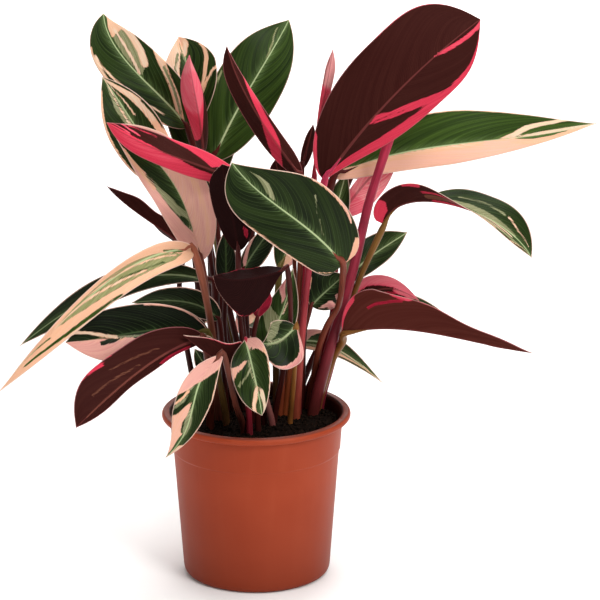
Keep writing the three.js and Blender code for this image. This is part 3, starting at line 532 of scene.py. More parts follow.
# %% Each leaf's marks
MARKS = {
    "leaf_upper_left": [
        cream(0.25, (0.14, -0.98), (0.4, -0.98), (0.62, -0.98), (0.8, -0.98), band=4),
        cream(0.08, (0.2, -0.5), (0.4, -0.66), (0.6, -0.76), (0.75, -0.86), band=2.4),
        pale((0.48, 0.04), (0.5, 0.3), (0.56, 0.54), (0.66, 0.74), (0.78, 0.88), (0.86, 0.86),
             (0.9, 0.4), (0.84, 0.16), (0.72, 0.1), (0.6, 0.06)),
        cream(0.2, (0.52, 0.42), (0.6, 0.64), (0.7, 0.8), (0.8, 0.94), (0.92, 1), band=7),
        cream(0.35, (0.8, 0.08), (0.82, 0.5), (0.84, 1.3), (1.02, 1.3), (0.98, 0.8), (0.94, 0.4),
              (0.89, 0.16)),
        cream(0.12, (0.5, 0.06), (0.62, 0.26), (0.74, 0.38), (0.84, 0.46), band=3),
        cream(0.3, (0.04, 0.06), (0.2, 0.5), (0.36, 0.8), (0.48, 1.1), (0.6, 1.1), (0.48, 0.8),
              (0.32, 0.5), (0.16, 0.06)),
        pale((0.12, 0.14), (0.26, 0.5), (0.42, 0.82), band=2.8),
    ],
    "leaf_upper_left_edge": [
        cream(0.25, (1, 0.15), (0.9, 0.5), (0.76, 0.7), (0.6, 0.78), (0.4, 0.84), (0.1, 0.9), band=9),
        blush(0.45, (0.1, 0.6), (0.5, 0.7), (0.5, 1.3), (0.1, 1.3)),
        green((0.42, 0.98), (0.55, 0.94), (0.68, 0.9), band=3.4),
        cream(0.3, (0, -1), (0.3, -1), (0.66, -0.98), (0.9, -0.9), band=4),
        pale((0.99, -0.02), (0.88, -0.26), (0.74, -0.34), (0.58, -0.24), (0.42, -0.02), (0.6, 0),
             (0.8, 0.03)),
        cream(0.1, (0.96, -0.02), (0.8, -0.12), (0.6, -0.12), (0.44, 0), band=2.2),
        cream(0.15, (0.9, 0.16), (0.74, 0.26), (0.62, 0.24), band=1.8),
    ],
    "leaf_upper_left_inner": [
        cream(0.26, (0.34, -0.62), (0.42, -0.86), (0.55, -0.98), (0.7, -1.3), (1.02, -1.3), (1.02, -0.3),
              (0.92, -0.16), (0.84, -0.24), (0.75, -0.32), (0.65, -0.36), (0.55, -0.3), (0.47, -0.34),
              (0.4, -0.48)),
        pale((0.42, -0.46), (0.52, -0.44), (0.64, -0.48), (0.76, -0.46), (0.86, -0.4), band=4.4),
        cream(0.1, (0.5, -0.44), (0.66, -0.46), (0.8, -0.42), band=1.2),
        cream(0.3, (0.82, -0.04), (0.88, -0.3), (1.02, -1.3), (1.02, 1.3), (0.94, 0.62), (0.88, 0.22),
              (0.84, 0.1)),
        pale((0.78, -0.02), (0.88, -0.12), (0.95, -0.2), band=2.4),
        blush(0.5, (0.9, -0.1), (0.95, -0.5), (1, -0.6), (1, 1), (0.95, 0.3)),
        green((0.66, 0.4), (0.74, 0.16), (0.82, 0.2), (0.93, 0.65), (0.92, 1.1), (0.8, 0.82),
              (0.73, 0.6)),
        cream(0.3, (0.54, 0.46), (0.63, 0.62), (0.7, 0.86), (0.72, 1.05), band=2.6),
        cream(0.35, (0.58, 0.44), (0.75, 0.64), (0.88, 0.94), band=4),
    ],
    "leaf_rolled_left": [
        cream(0.76, *ALL_OVER),
        blush(0.5, (0, 1.3), (0.5, 1.3), (0.4, 0), (0.5, -0.5), (0, -1)),
        blush(0.86, (0.78, -1.3), (0.84, -0.2), (0.8, 0.5), (0.88, 1.3), (1.1, 1.3), (1.1, -1.3)),
        green((-0.1, -1.3), (0.6, -1.3), (0.56, -0.7), (0.42, -0.4), (0.3, -0.16), (0.2, 0.04),
              (0.16, 0.3), (0.12, 1.3), (-0.1, 1.3)),
        green((0.1, -1), (0.5, -1), (0.72, -1), (0.84, -1), band=5),
    ],
    "leaf_upper_middle": [
        pale((0.68, -0.02), (0.8, -0.15), (0.9, -0.5), band=2.4),
        pale((0.24, -0.93), (0.35, -0.86), (0.46, -0.9), band=2.4),
        pale((0.02, 0), (0.2, -0.04), (0.3, -0.02), (0.2, 0.04)),
    ],
    "leaf_red_left": [
        cream(0.52, (0.1, -1.3), (0.14, -0.8), (0.2, -0.5), (0.28, -0.18), (0.33, -0.38), (0.45, -0.72),
              (0.6, -0.95), (0.72, -1.3)),
        cream(0.5, (0.2, 0.3), (0.35, 0.3), (0.45, 0.16), (0.5, 0.05), (0.62, 0), (0.72, -0.12),
              (0.8, -0.14), (0.88, -0.2), (0.95, -0.32), (1.05, -0.6), (1.05, 1.3), (0.5, 1.3),
              (0.2, 1.3)),
        cream(0.8, (0.8, -0.42), (0.87, -0.62), (0.92, -0.95), band=2.4),
        cream(0.75, (0.86, -0.26), (0.93, -0.5), (0.98, -0.8), band=2.4),
        cream(0.6, (0.68, -0.74), (0.88, -0.9), band=1.6),
        blush(0.62, (0.45, 0.2), (0.7, 0), (0.85, 0), (1, 0.2), (0.8, 0.5), (0.6, 0.5)),
    ],
    "leaf_peach_left": [
        cream(0.7, *ALL_OVER),
        blush(0.62, (0, -0.1), (0.7, -0.1), (0.7, 0.35), (0, 0.3)),
        blush(0.5, (0.1, 0.5), (0.4, 0.55), (0.7, 0.5), (0.7, 0.7), (0.1, 0.72)),
        pale((0.2, -0.03), (0.28, -0.34), (0.4, -0.54), (0.5, -0.64), (0.62, -0.72), (0.76, -0.76),
             (0.6, -0.5), (0.45, -0.26), (0.36, -0.03)),
        green((0.24, -0.05), (0.32, -0.16), (0.36, -0.42), (0.28, -0.28)),
        green((0.34, -0.02), (0.42, -0.26), (0.56, -0.5), (0.72, -0.66), (0.88, -0.86), (1, -1.3),
              (1.02, -0.3), (0.9, -0.04), (0.7, 0), (0.5, 0)),
        cream(0.2, (0.6, -0.7), (0.75, -0.76), (0.88, -0.86), band=2.4),
    ],
    "leaf_small_left": [
        cream(0.1, (0.4, 1), (0.6, 0.9), (0.8, 1), band=2),
    ],
    "leaf_long_peach": [
        cream(0.44, *ALL_OVER),
        pale((0.08, -0.3), (0.14, -0.6), (0.3, -0.66), (0.45, -0.56), (0.6, -0.36), (0.7, -0.1),
             (0.74, 0.16), (0.66, 0.34), (0.5, 0.5), (0.36, 0.42), (0.2, 0.1)),
        cream(0.3, (0.12, -0.3), (0.26, -0.12), (0.42, 0.1), (0.56, 0.3), band=2.2),
        cream(0.28, (0.3, -0.52), (0.44, -0.3), (0.58, -0.04), (0.72, 0.14), band=2.6),
        green((0.2, -0.5), (0.32, -0.42), (0.42, -0.22), band=1.8),
        green((0.04, 0.04), (0.08, -0.2), (0.13, -0.1), (0.18, 0.12), (0.18, 0.3), (0.11, 0.12)),
        green((0.46, -0.94), (0.58, -0.86), (0.7, -0.76), (0.8, -0.6), (0.88, -0.4), band=4),
        cream(0.2, (0.5, -0.98), (0.64, -0.98), (0.8, -0.98), band=1.8),
        green((0.76, -0.2), (0.86, 0.1), (0.92, 0.2), band=2.2),
    ],
    "leaf_dark_left": [
        cream(0.5, (0.1, -0.98), (0.25, -0.98), band=1.6),
    ],
    "leaf_lower_left": [
        cream(0.72, (0.45, -0.46), (0.5, -0.3), (0.6, -0.12), (0.72, -0.02), (0.9, 0), (1.02, 0.1),
              (1.02, -1.3), (0.6, -1.3), (0.58, -0.62)),
        green((0.62, -0.1), (0.66, -0.22), (0.78, -0.33), (0.79, -0.14), (0.7, -0.04)),
        green((0.46, -0.3), (0.5, -0.4), (0.57, -0.44), (0.53, -0.3), (0.48, -0.24)),
        cream(0.1, (0.64, -0.1), (0.72, 0.02), (0.82, 0.22), (0.9, 0.5), (0.96, 0.95), band=3.4),
        pale((0.06, -0.1), (0.3, -0.2), (0.5, -0.18), (0.65, -0.08), band=2.4),
        cream(0.3, (0.3, -0.4), (0.4, -0.54), (0.54, -0.56), band=2),
        cream(0.7, (0.02, 0.7), (0.12, 0.9), (0.2, 0.97), (0.45, 0.98), band=3),
        cream(0.5, (0.08, -0.95), (0.2, -1), (0.5, -1), (0.7, -1), band=2.2),
    ],
    "leaf_lower_left_behind": [
        cream(0.6, (0.1, 0.95), (0.4, 1), (0.7, 1), band=2),
    ],
    "leaf_maroon_lower_left": [
        cream(0.12, (0.1, 0.5), (0.3, 0.45), (0.37, 0.62), (0.3, 1.3), (0.1, 1.3)),
        pale((0.34, -0.3), (0.5, -0.46), (0.66, -0.62), band=2),
        pale((0.5, -0.16), (0.66, -0.3), (0.82, -0.4), band=2),
        cream(0.55, (0.66, -0.84), (0.76, -0.94), (0.8, -1.2), (0.68, -1.2)),
        cream(0.4, (0.6, -0.98), (0.86, -0.98), band=1.6),
        pale((0.3, 0.02), (0.6, 0.02), (0.92, 0.01), band=2.4),
    ],
    "leaf_over_rim": [
        cream(0.7, (-0.1, -1.3), (0.2, -1.3), (0.1, -0.86), (0.2, -0.42), (0.3, 0), (0.4, 0.55),
              (0.5, 1.3), (-0.1, 1.3)),
        pale((0.2, -0.5), (0.3, 0.1), (0.4, 0.35), (0.5, 0.5), (0.62, 1.1), (0.55, 0.9), (0.44, 0.66),
             (0.34, 0.3)),
        cream(0.35, (0.4, 0.42), (0.46, 0.62), (0.54, 0.98), band=2.4),
        cream(0.58, (0.48, 0.12), (0.6, 0.16), (0.7, 0.36), (0.78, 0.32), (0.78, 0.1), (0.83, 0.28),
              (0.95, 0.4), (1.02, 1.3), (0.7, 1.3), (0.62, 0.7), (0.54, 0.4)),
        pale((0.46, 0), (0.6, -0.06), (0.68, -0.26), (0.77, -0.26), (0.82, -0.1), (0.76, 0.2),
             (0.65, 0.26), (0.55, 0.1)),
        cream(0.3, (0.84, -1.3), (0.88, -0.3), (1.02, 0), (1.02, -1.3)),
        cream(0.3, (0.08, -0.95), (0.3, -1), (0.5, -1), (0.8, -1), band=2.2),
    ],
    "leaf_upright_centre": [
        cream(0.1, (0.1, -0.8), (0.2, -0.72), (0.26, -0.4), (0.16, -0.5)),
    ],
    "leaf_maroon_centre": [
        cream(0.5, (0.2, -1), (0.5, -1), (0.8, -1), band=1.4),
        cream(0.4, (0.3, 0.99), (0.8, 0.99), band=1.2),
    ],
    "leaf_hanging_centre": [
        cream(0.72, (-0.1, -1.3), (0.33, -1.3), (0.36, -0.92), (0.27, -0.62), (0.25, -0.36),
              (0.29, -0.1), (0.16, 0), (-0.1, 1.3)),
        green((0.2, -0.3), (0.31, -0.2), (0.31, -0.02), (0.24, -0.14)),
        cream(0.15, (0.3, -0.96), (0.5, -1), (0.75, -1), (0.95, -1), band=2.4),
        cream(0.1, (0.67, -0.2), (0.72, -0.46), (0.84, -0.72), (0.95, -1.2), (0.96, -0.7), (0.86, -0.42),
              (0.77, -0.14)),
        pale((0.69, -0.02), (0.78, -0.18), (0.86, -0.3), (0.78, 0)),
        pale((0.38, 0.1), (0.5, 0.12), (0.6, 0.03), (0.7, 0.02), band=2.4),
        cream(0.25, (0.68, 0.02), (0.78, 0.22), (0.88, 0.6), (0.96, 1.1), band=4.2),
        cream(0.6, (0.36, 0.12), (0.42, 0.3), (0.48, 0.7), (0.64, 1.3), (0.42, 1.3), (0.42, 0.7)),
        pale((0.5, 0.2), (0.56, 0.45), (0.62, 0.8), band=2.2),
    ],
    "leaf_folded_centre": [
        cream(0.75, (0.15, -1), (0.5, -1), (0.85, -1), band=3),
        cream(0.6, (0.2, 1), (0.5, 1), (0.9, 1), band=2),
    ],
    "leaf_young_crimson": [
        cream(0.05, *ALL_OVER),
    ],
    "leaf_pink_edge_centre": [
        cream(0.9, (0.04, -0.1), (0.14, -0.6), (0.4, -0.9), (0.65, -1.3), (0.66, -1), (0.4, -0.58),
              (0.2, -0.2), (0.1, 0)),
        cream(0.3, (0.1, 0.95), (0.4, 1), (0.9, 1), band=1.6),
    ],
    "leaf_small_centre": [
        cream(0.82, (-0.05, -0.55), (0.1, -0.68), (0.3, -0.76), (0.6, -0.84), (0.86, -0.93),
              (0.95, -1.3), (-0.05, -1.3)),
        pale((0.02, 0.25), (0.1, 0), (0.3, -0.06), (0.5, -0.06), (0.8, -0.06), (0.94, -0.2),
             (0.84, 0.22), (0.6, 0.15), (0.4, 0.05), (0.15, 0.08), (0.05, 0.35)),
        pale((0.14, 0.95), (0.3, 0.6), (0.5, 0.36), (0.75, 0.26), (0.88, 0.1), (0.94, 1.3), (0.14, 1.3)),
    ],
    "leaf_low_upright_centre": [
        cream(0.8, (-0.05, -1.3), (0.16, -1.3), (0.1, -0.4), (0.05, -0.05), (-0.05, 0)),
        pale((0.1, -0.03), (0.2, -0.1), (0.3, -0.4), (0.45, -0.8), (0.6, -1.2), (0.7, -1.1), (0.6, -0.6),
             (0.54, -0.02), (0.4, 0.02), (0.2, 0)),
        pale((0.1, 0.05), (0.2, 0.12), (0.28, 0.45), (0.36, 0.76), (0.5, 0.86), (0.5, 1.2), (0.35, 0.95),
             (0.22, 0.6), (0.15, 0.3)),
        cream(0.9, (0.67, -0.15), (0.75, -0.34), (0.82, -0.84), (0.88, -1.2), (0.92, -0.8), (0.85, -0.4),
              (0.77, -0.1)),
        cream(0.1, (0.58, 0.06), (0.7, 0.16), (0.78, 0.26), band=2),
    ],
    "leaf_front_large": [
        pale((0.6, 0.06), (0.66, 0.08), (0.72, 0.18), (0.8, 0.4), (0.89, 0.58), (0.8, 0.52),
             (0.72, 0.42), (0.65, 0.22)),
        pale((0.22, 0.12), (0.26, 0.22), (0.31, 0.36), band=1.6),
        pale((0.34, 0.4), (0.43, 0.7), band=1.2),
        cream(0.5, (-0.05, 0.15), (0.03, 0.55), (0.09, 0.86), (0.04, 1.3), (-0.05, 1.3)),
        cream(0.55, (0.17, 0.9), (0.25, 0.96), (0.5, 1), band=3),
        cream(0.45, (0.02, -0.8), (0.1, -1), (0.3, -1), (0.5, -0.98), (0.7, -0.98), band=2),
        cream(0.2, (0.55, 1), (0.75, 1), (0.95, 1), band=1.6),
    ],
    "leaf_folded_tall": [
        cream(0.46, (0.1, 1.3), (0.15, 0.7), (0.22, 0.14), (0.28, -0.36), (0.35, -0.6), (0.45, -0.72),
              (0.55, -0.92), (0.7, -1.3), (0.84, -1.3), (0.7, -0.66), (0.6, -0.36), (0.48, -0.1),
              (0.35, 0.4), (0.24, 0.85), (0.18, 1.3)),
        blush(0.6, (0.5, -0.8), (0.62, -0.4), (0.9, -1), (0.7, -1.3)),
    ],
    "leaf_new_spear": [
        cream(0.98, *ALL_OVER),
        blush(0.6, (-0.1, -1.3), (0.7, -1.3), (0.75, 1.3), (-0.1, 1.3)),
        pale((0.74, 0.5), (0.84, 0.55), (0.94, 0.4), band=1.8),
    ],
    "leaf_top_right_large": [
        cream(0.5, (-0.05, -1.3), (-0.05, 0), (0.06, 0), (0.1, -0.26), (0.2, -0.5), (0.3, -0.64),
              (0.42, -0.72), (0.52, -0.78), (0.65, -0.84), (0.85, -0.88), (0.97, -0.9), (0.97, -1.3)),
        cream(0.5, (0.32, -0.03), (0.35, -0.2), (0.42, -0.46), (0.5, -0.66), (0.58, -0.84),
              (0.68, -0.86), (0.58, -0.64), (0.5, -0.44), (0.42, -0.24), (0.37, 0)),
        green((0.34, -0.08), (0.39, -0.26), (0.47, -0.5), band=1.2),
        cream(0.66, (0.72, 0.01), (0.78, -0.12), (0.88, -0.26), (0.95, -0.44), (0.98, -0.9), (1.03, -1),
              (1, -0.3), (0.93, -0.18), (0.85, -0.09), (0.77, 0)),
        cream(0.6, (-0.05, 0.7), (0.05, 0.76), (0.14, 0.9), (0.2, 1.3), (-0.05, 1.3)),
        cream(0.7, (0.6, 0.99), (0.8, 1), (0.95, 1), band=1.4),
    ],
    "leaf_long_right": [
        cream(0.56, (-0.05, -0.36), (0.05, -0.25), (0.1, -0.06), (0.2, 0.02), (0.4, 0.04), (0.6, 0),
              (0.68, 0), (0.72, 0.1), (0.78, 0.34), (0.85, 0.4), (0.9, 0.12), (0.95, 0), (1.02, -0.5),
              (1.02, 1.3), (-0.05, 1.3)),
        blush(0.36, (0, -0.3), (0.2, 0), (0.6, 0), (0.6, 0.2), (0.2, 0.25), (0, 0.1)),
        blush(0.4, (0.7, 0.3), (0.85, 0.4), (1, 0), (1, 1), (0.8, 1)),
        cream(0.12, (0.65, 0), (0.71, -0.2), (0.76, -0.5), (0.85, -0.8), (0.92, -1.3), (0.95, -1.2),
              (0.86, -0.6), (0.78, -0.34), (0.72, -0.04)),
        cream(0.12, (0.7, 0), (0.8, -0.14), (0.9, -0.24), (1, -0.4), (1.02, 0), (0.8, 0.04)),
        green((0.73, 0.1), (0.8, 0.06), (0.9, 0.1), (0.9, 0.26), (0.8, 0.3)),
        cream(0.4, (0.3, -1), (0.5, -1), (0.75, -1), band=2),
    ],
    "leaf_rose_right": [
        cream(0.88, *ALL_OVER),
        blush(0.76, (-0.1, -1.3), (0.3, -1.3), (0.3, 1.3), (-0.1, 1.3)),
    ],
    "leaf_arching_right": [
        cream(0.5, (-0.05, 0.2), (0.1, 0.2), (0.14, 0.6), (0.12, 1.3), (-0.05, 1.3)),
        cream(0.5, (0.27, 0.9), (0.36, 0.8), (0.38, 1.3), (0.27, 1.3)),
        pale((0.38, 0.3), (0.5, 0.42), (0.64, 0.56), (0.78, 0.62), (0.9, 0.6), band=7),
        pale((0.42, -0.16), (0.56, -0.18), (0.7, -0.1), (0.84, 0), band=5),
        cream(0.12, (0.4, 0.06), (0.54, 0.1), (0.7, 0.2), (0.84, 0.32), band=3.2),
        cream(0.3, (0.36, 0.55), (0.46, 0.68), (0.6, 0.8), (0.76, 0.86), band=3),
        cream(0.15, (0.5, 0.34), (0.66, 0.46), (0.8, 0.52), band=2.2),
        pale((0.5, -0.5), (0.62, -0.56), (0.74, -0.5), band=2),
        cream(0.15, (0.76, -0.52), (0.84, -0.36), (0.94, -0.4), band=1.8),
        cream(0.2, (0.86, 0.9), (0.92, 0.5), (0.97, 0.3), band=2.4),
    ],
    "leaf_right_behind": [
        pale((0.1, -0.6), (0.3, -0.9), (0.2, -0.5), (0.1, -0.3)),
    ],
    "leaf_lower_right_large": [
        cream(0, (0.16, 0.54), (0.24, 0.7), (0.32, 0.88), band=3.4),
        cream(0.6, (-0.05, 0.55), (0.04, 0.76), (0.1, 0.84), (0.14, 1.3), (-0.05, 1.3)),
        cream(0.7, (0.27, 0.95), (0.35, 0.9), (0.46, 1.3), (0.27, 1.3)),
        cream(0.55, (0.4, 1), (0.6, 1), (0.9, 1), band=1.4),
    ],
    "leaf_pink_lower_right": [
        cream(0.8, (-0.05, 0.5), (0.1, 0.5), (0.2, 0.48), (0.4, 0.44), (0.5, 0.3), (0.6, 0.2),
              (0.72, 0.1), (0.7, -0.1), (0.75, -0.44), (0.85, -0.62), (0.95, -1.3), (1.05, -1.3),
              (1.05, 1.3), (-0.05, 1.3)),
        cream(0.02, (0.33, -0.44), (0.5, -0.52), (0.76, -0.52), (0.72, -0.3), (0.6, -0.2), (0.5, -0.25)),
        green((0.62, 0.16), (0.82, 0.03), band=1.4),
    ],
    "leaf_lower_right_small": [
        cream(0.75, (-0.05, -1.3), (0.42, -1.3), (0.35, -0.84), (0.26, -0.44), (0.2, 0.2), (0.16, 0.4),
              (-0.05, 0.4)),
        pale((0.16, 0.5), (0.4, 0.46), (0.6, 0.3), (0.8, 0.1), band=3),
        cream(0.35, (0.16, 0.78), (0.4, 0.74), (0.6, 0.55), (0.8, 0.3), (0.95, 0), band=3),
        cream(0.1, (0.55, 0.12), (0.7, -0.02), (0.86, -0.2), band=1.8),
    ],
    "leaf_centre_right": [
        cream(0.78, (-0.05, -1.3), (0.02, -0.5), (0.1, -0.42), (0.3, -0.5), (0.48, -0.72), (0.6, -1.3)),
        blush(0.5, (0.2, -0.6), (0.5, -0.6), (0.6, -1.3), (0.3, -0.8)),
        cream(0.85, (0.05, 0.86), (0.1, 0.62), (0.2, 0.52), (0.4, 0.5), (0.48, 0.7), (0.44, 1.3),
              (0.3, 1.3), (0.25, 0.78), (0.12, 0.7)),
        cream(0.95, (0.55, 0.78), (0.61, 0.56), (0.7, 0.64), (0.62, 0.8)),
    ],
    "leaf_dark_behind_stalks": [],
    "leaf_small_dark_left": [],
    "leaf_dark_behind_front": [],
    "leaf_behind_front": [],
    "leaf_sliver": [],
    "leaf_back_right_tall": [
        cream(0.5, (0.1, 1), (0.4, 0.95), (0.8, 1), band=3),
        cream(0.55, (0.3, 0), (0.4, -0.4), (0.52, -1.2), (0.62, -1.2), (0.5, -0.5), (0.36, 0)),
    ],
}

# %% The marks of the leaves at the back
# They are striped in one of three ways that this plant shows all round.
HALF_CREAM = [
    cream(0.45, (-0.05, 0.02), (0.7, 0.02), (1.02, 0.1), (1.02, 1.3), (-0.05, 1.3)),
    blush(0.75, (0, 0.6), (0.5, 0.7), (0.9, 0.5), (0.9, 1.3), (0, 1.3)),
    green((0.3, 0.3), (0.42, 0.45), (0.62, 1.3), (0.5, 1.3), (0.36, 0.6)),
    cream(0.3, (0.4, 0), (0.5, -0.35), (0.66, -1.2), (0.74, -1.2), (0.56, -0.4), (0.46, 0)),
]
STRIPED = [
    cream(0.6, (0.05, -0.95), (0.3, -1), (0.7, -1), (0.95, -0.95), band=5),
    cream(0.25, (0.2, 0), (0.3, 0.4), (0.46, 1.3), (0.6, 1.3), (0.42, 0.5), (0.3, 0)),
    pale((0.5, 0), (0.6, 0.4), (0.78, 1.3), (0.84, 1.2), (0.68, 0.4), (0.58, 0)),
    cream(0.5, (0.62, 0), (0.72, -0.35), (0.86, -1.2), (1.02, -1.3), (1.02, 0.4), (0.8, 0)),
]
MARGINED = [
    cream(0.55, (0.05, 0.95), (0.3, 1), (0.7, 1), (0.95, 0.9), band=4),
    pale((0.4, 0), (0.5, -0.35), (0.66, -0.9), (0.56, -0.5), (0.46, 0)),
]
MARKS.update({
    "leaf_back_left_tall": STRIPED,
    "leaf_back_middle": HALF_CREAM,
    "leaf_back_low_left": STRIPED,
    "leaf_back_low_right": MARGINED,
    "leaf_back_low_middle": HALF_CREAM,
    "leaf_back_left": MARGINED,
    "leaf_back_right": STRIPED,
})
print(sum(map(len, MARKS.values())), "marks on", len(MARKS), "leaves")

# %% Freshness and painted shade
# How fresh a leaf's green is, from 0, deep bluish green, to 1, young yellowish green. It is partly
# painted
# shade and light: leaves that lie in shade get low values, which paint them darker, and leaves in the
# key light get high ones, which paint them lighter. Underneath, the same number makes the maroon darker
# or lighter.
USUAL_FRESHNESS_AND_SHADE = 0.35
FRESHNESS_AND_SHADE = {
    "leaf_upper_middle": 0.6, "leaf_upper_left": 0.4, "leaf_upper_left_edge": 0.3,
    "leaf_long_peach": 1, "leaf_dark_left": 0.1, "leaf_small_dark_left": 0.1,
    "leaf_lower_left": 0, "leaf_lower_left_behind": 0.05, "leaf_over_rim": 0.2,
    "leaf_front_large": 0.25, "leaf_upright_centre": 0, "leaf_maroon_centre": 0,
    "leaf_hanging_centre": 0.4, "leaf_pink_edge_centre": 0.05, "leaf_small_centre": 0.15,
    "leaf_centre_right": 0.1, "leaf_dark_behind_stalks": 0, "leaf_new_spear": 0.9,
    "leaf_long_right": 1, "leaf_lower_right_large": 1,
}
print("The deepest greens:", *(name for name, freshness in FRESHNESS_AND_SHADE.items() if not freshness))

# %% [markdown]
# A mark's edge is kept as a signed distance in millimetres: positive inside, negative outside. It is
# measured on the leaf laid flat, and painting one mark over another is a matter of taking the larger
# or the smaller distance. Distances blend smoothly over a mesh, so an edge stays crisp between points.

# %% Marks to distances
FAR = 8.0  # millimetres, as far as a distance matters
TONE_BLEND = 5.0  # millimetres over which one tone turns into the next
USUAL_TONE = 0.5


def distance_to_lines(places, corners, closed):
    """How far each place is from the nearest of the lines that join the corners."""
    best = np.full(places.shape[:-1], np.inf)
    ends = np.roll(corners, -1, axis=0) if closed else corners[1:]
    for a, b in zip(corners, ends):
        side = b - a
        share = np.clip(((places - a) @ side) / (side @ side), 0, 1)
        gap = places - (a + share[..., None] * side)
        best = np.minimum(best, np.hypot(gap[..., 0], gap[..., 1]))
    return best


def is_inside(places, corners):
    """Whether a line from each place to one side crosses the outline an odd number of times."""
    inside = np.zeros(places.shape[:-1], bool)
    x, y = places[..., 0], places[..., 1]
    for (x1, y1), (x2, y2) in zip(corners, np.roll(corners, -1, axis=0)):
        if y1 != y2:
            crosses = (y1 > y) != (y2 > y)
            inside ^= crosses & (x < (x2 - x1) * (y - y1) / (y2 - y1) + x1)
    return inside


def mark_distance(mark, places, corners):
    """How far inside a mark each place is: a band along its corners, or all that they enclose."""
    if mark["band"]:
        return mark["band"] / 2 - distance_to_lines(places, corners, closed=False)
    distance = distance_to_lines(places, corners, closed=True)
    return np.where(is_inside(places, corners), distance, -distance)


def flat(leaf, t, w):
    """Places on the leaf laid flat, in millimetres: along its rib and across it."""
    half = np.where(w >= 0, leaf["half"][1], leaf["half"][0])
    return np.stack([t * leaf["length"], w * half], axis=-1)


def painted(leaf, t, w):
    """Distances into the cream and into the pale green, and the cream's tone, at each t and w."""
    places = flat(leaf, t, w)
    in_cream = np.full(t.shape, -FAR)
    in_pale = np.full(t.shape, -FAR)
    tone = np.full(t.shape, USUAL_TONE)
    for mark in MARKS[leaf["name"]]:
        outline = np.array(mark["outline"], float)
        distance = mark_distance(mark, places, flat(leaf, outline[:, 0], outline[:, 1]))
        distance = np.clip(distance, -FAR, FAR)
        if mark["kind"] == "cream":
            in_cream = np.maximum(in_cream, distance)
            in_pale = np.minimum(in_pale, -distance)
        elif mark["kind"] == "pale":
            in_pale = np.maximum(in_pale, distance)
            in_cream = np.minimum(in_cream, -distance)
        elif mark["kind"] == "green":
            in_pale = np.minimum(in_pale, -distance)
            in_cream = np.minimum(in_cream, -distance)
        if mark["kind"] in ("cream", "blush"):
            share = np.clip(0.5 + distance / TONE_BLEND, 0, 1)
            tone = tone * (1 - share) + mark["tone"] * share
    return in_cream, in_pale, tone


cream_depth = painted(longest, np.array([0.3]), np.array([0.5]))[0].round(1)
print("A third along, halfway to the right margin, it is", *cream_depth, "mm inside its cream")

# %% [markdown]
# ## Finishes of a leaf
# The upper skin of the leaf is covered by a thin wax layer, which makes it satin: soft, wide
# highlights. The side veins leave the midrib at a narrow angle and bend towards the tip, so a number
# that is the same all along one vein is what the whole pattern hangs on. That number, in millimetres,
# is stored on the mesh as `veins`, with the distance from the rib and the leaf's own number. Noise that
# is short across the veins and long along them then gives strokes, frayed edges and fine ribbing.

# %% What the leaf materials share
MAIN_VEIN_SPACING = 8.5  # millimetres between two side veins that show on top
FINE_VEIN_SPACING = 2.6  # and between two that show underneath
STROKE_WIDTH = 1.7  # of the noise that frays the edges, in millimetres across the veins
STROKE_LENGTH = 24  # and along them
NEXT_LEAF_SHIFT = 7.3  # how far the noise of one leaf is from that of the next
EDGE_SOFTNESS = 0.35  # millimetres inside and outside an edge over which it blends
VEIN_WOBBLE = 5.0  # millimetres
MARGIN_INNER = 1.0  # millimetres from the margin, where its coloured line has faded out
MARGIN_OUTER = 0.3  # and where it is full
DEEPEST = 0.2  # the freshness below which a leaf's rib and margin begin to fade


def read_leaf(tree):
    """The numbers stored on the mesh: the whole of `veins`, and the parts of all three."""
    parts = {}
    for name, keys in {
        "veins": ("vein", "off_rib"),
        "marks": ("in_cream", "in_pale", "tone"),
        "place": ("off_margin", "t", "freshness"),
    }.items():
        parts[name] = add(tree, "Attribute", {}, "Vector", attribute_name=name)
        split = add(tree, "SeparateXYZ", {0: parts[name]}).node
        parts.update(zip(keys, split.outputs))
    return parts


def strokes(tree, leaf, width, length, detail=2.0, shift=0.0):
    """Noise drawn out along the veins: 'width' millimetres across them and 'length' along."""
    squeeze = (1 / width, 1 / length, NEXT_LEAF_SHIFT)
    vector = add(tree, "VectorMath", {0: leaf["veins"], 1: squeeze, 2: (shift, shift, 0)},
                 operation="MULTIPLY_ADD")
    noise = {"Vector": vector, "Scale": 1.0, "Detail": detail, "Roughness": 0.6}
    return add(tree, "TexNoise", noise, "Fac")


def frayed(tree, distance, noise, reach):
    """1 inside a mark and 0 outside, where the edge wanders by up to 'reach' millimetres."""
    wander = add(tree, "MapRange", {"Value": noise, "From Min": 0.25, "From Max": 0.75,
                                    "To Min": -reach, "To Max": reach})
    moved = add(tree, "Math", {0: distance, 1: wander}, operation="ADD")
    return add(tree, "MapRange", {"Value": moved, "From Min": -EDGE_SOFTNESS, "From Max": EDGE_SOFTNESS},
               interpolation_type="SMOOTHSTEP")


def vein_lines(tree, leaf, spacing, reach):
    """1 along each side vein, and 0 from 'reach' millimetres off it."""
    wobble = strokes(tree, leaf, width=9, length=60, detail=0)
    bent = add(tree, "Math", {0: wobble, 1: VEIN_WOBBLE, 2: leaf["vein"]}, operation="MULTIPLY_ADD")
    saw = add(tree, "Math", {0: bent, 1: spacing / 2}, operation="PINGPONG")
    return add(tree, "MapRange", {"Value": saw, "From Min": 0.0, "From Max": reach, "To Min": 1.0,
                                  "To Max": 0.0}, interpolation_type="SMOOTHSTEP")


def rib_band(tree, leaf, at_heel, at_tip, soft):
    """1 along the midrib, which tapers from one half width to another, and 0 beside it."""
    half_width = add(tree, "MapRange", {"Value": leaf["t"], "To Min": at_heel, "To Max": at_tip})
    beyond = add(tree, "Math", {0: leaf["off_rib"], 1: half_width}, operation="SUBTRACT")
    return add(tree, "MapRange", {"Value": beyond, "From Min": -soft, "From Max": soft, "To Min": 1.0,
                                  "To Max": 0.0}, interpolation_type="SMOOTHSTEP")


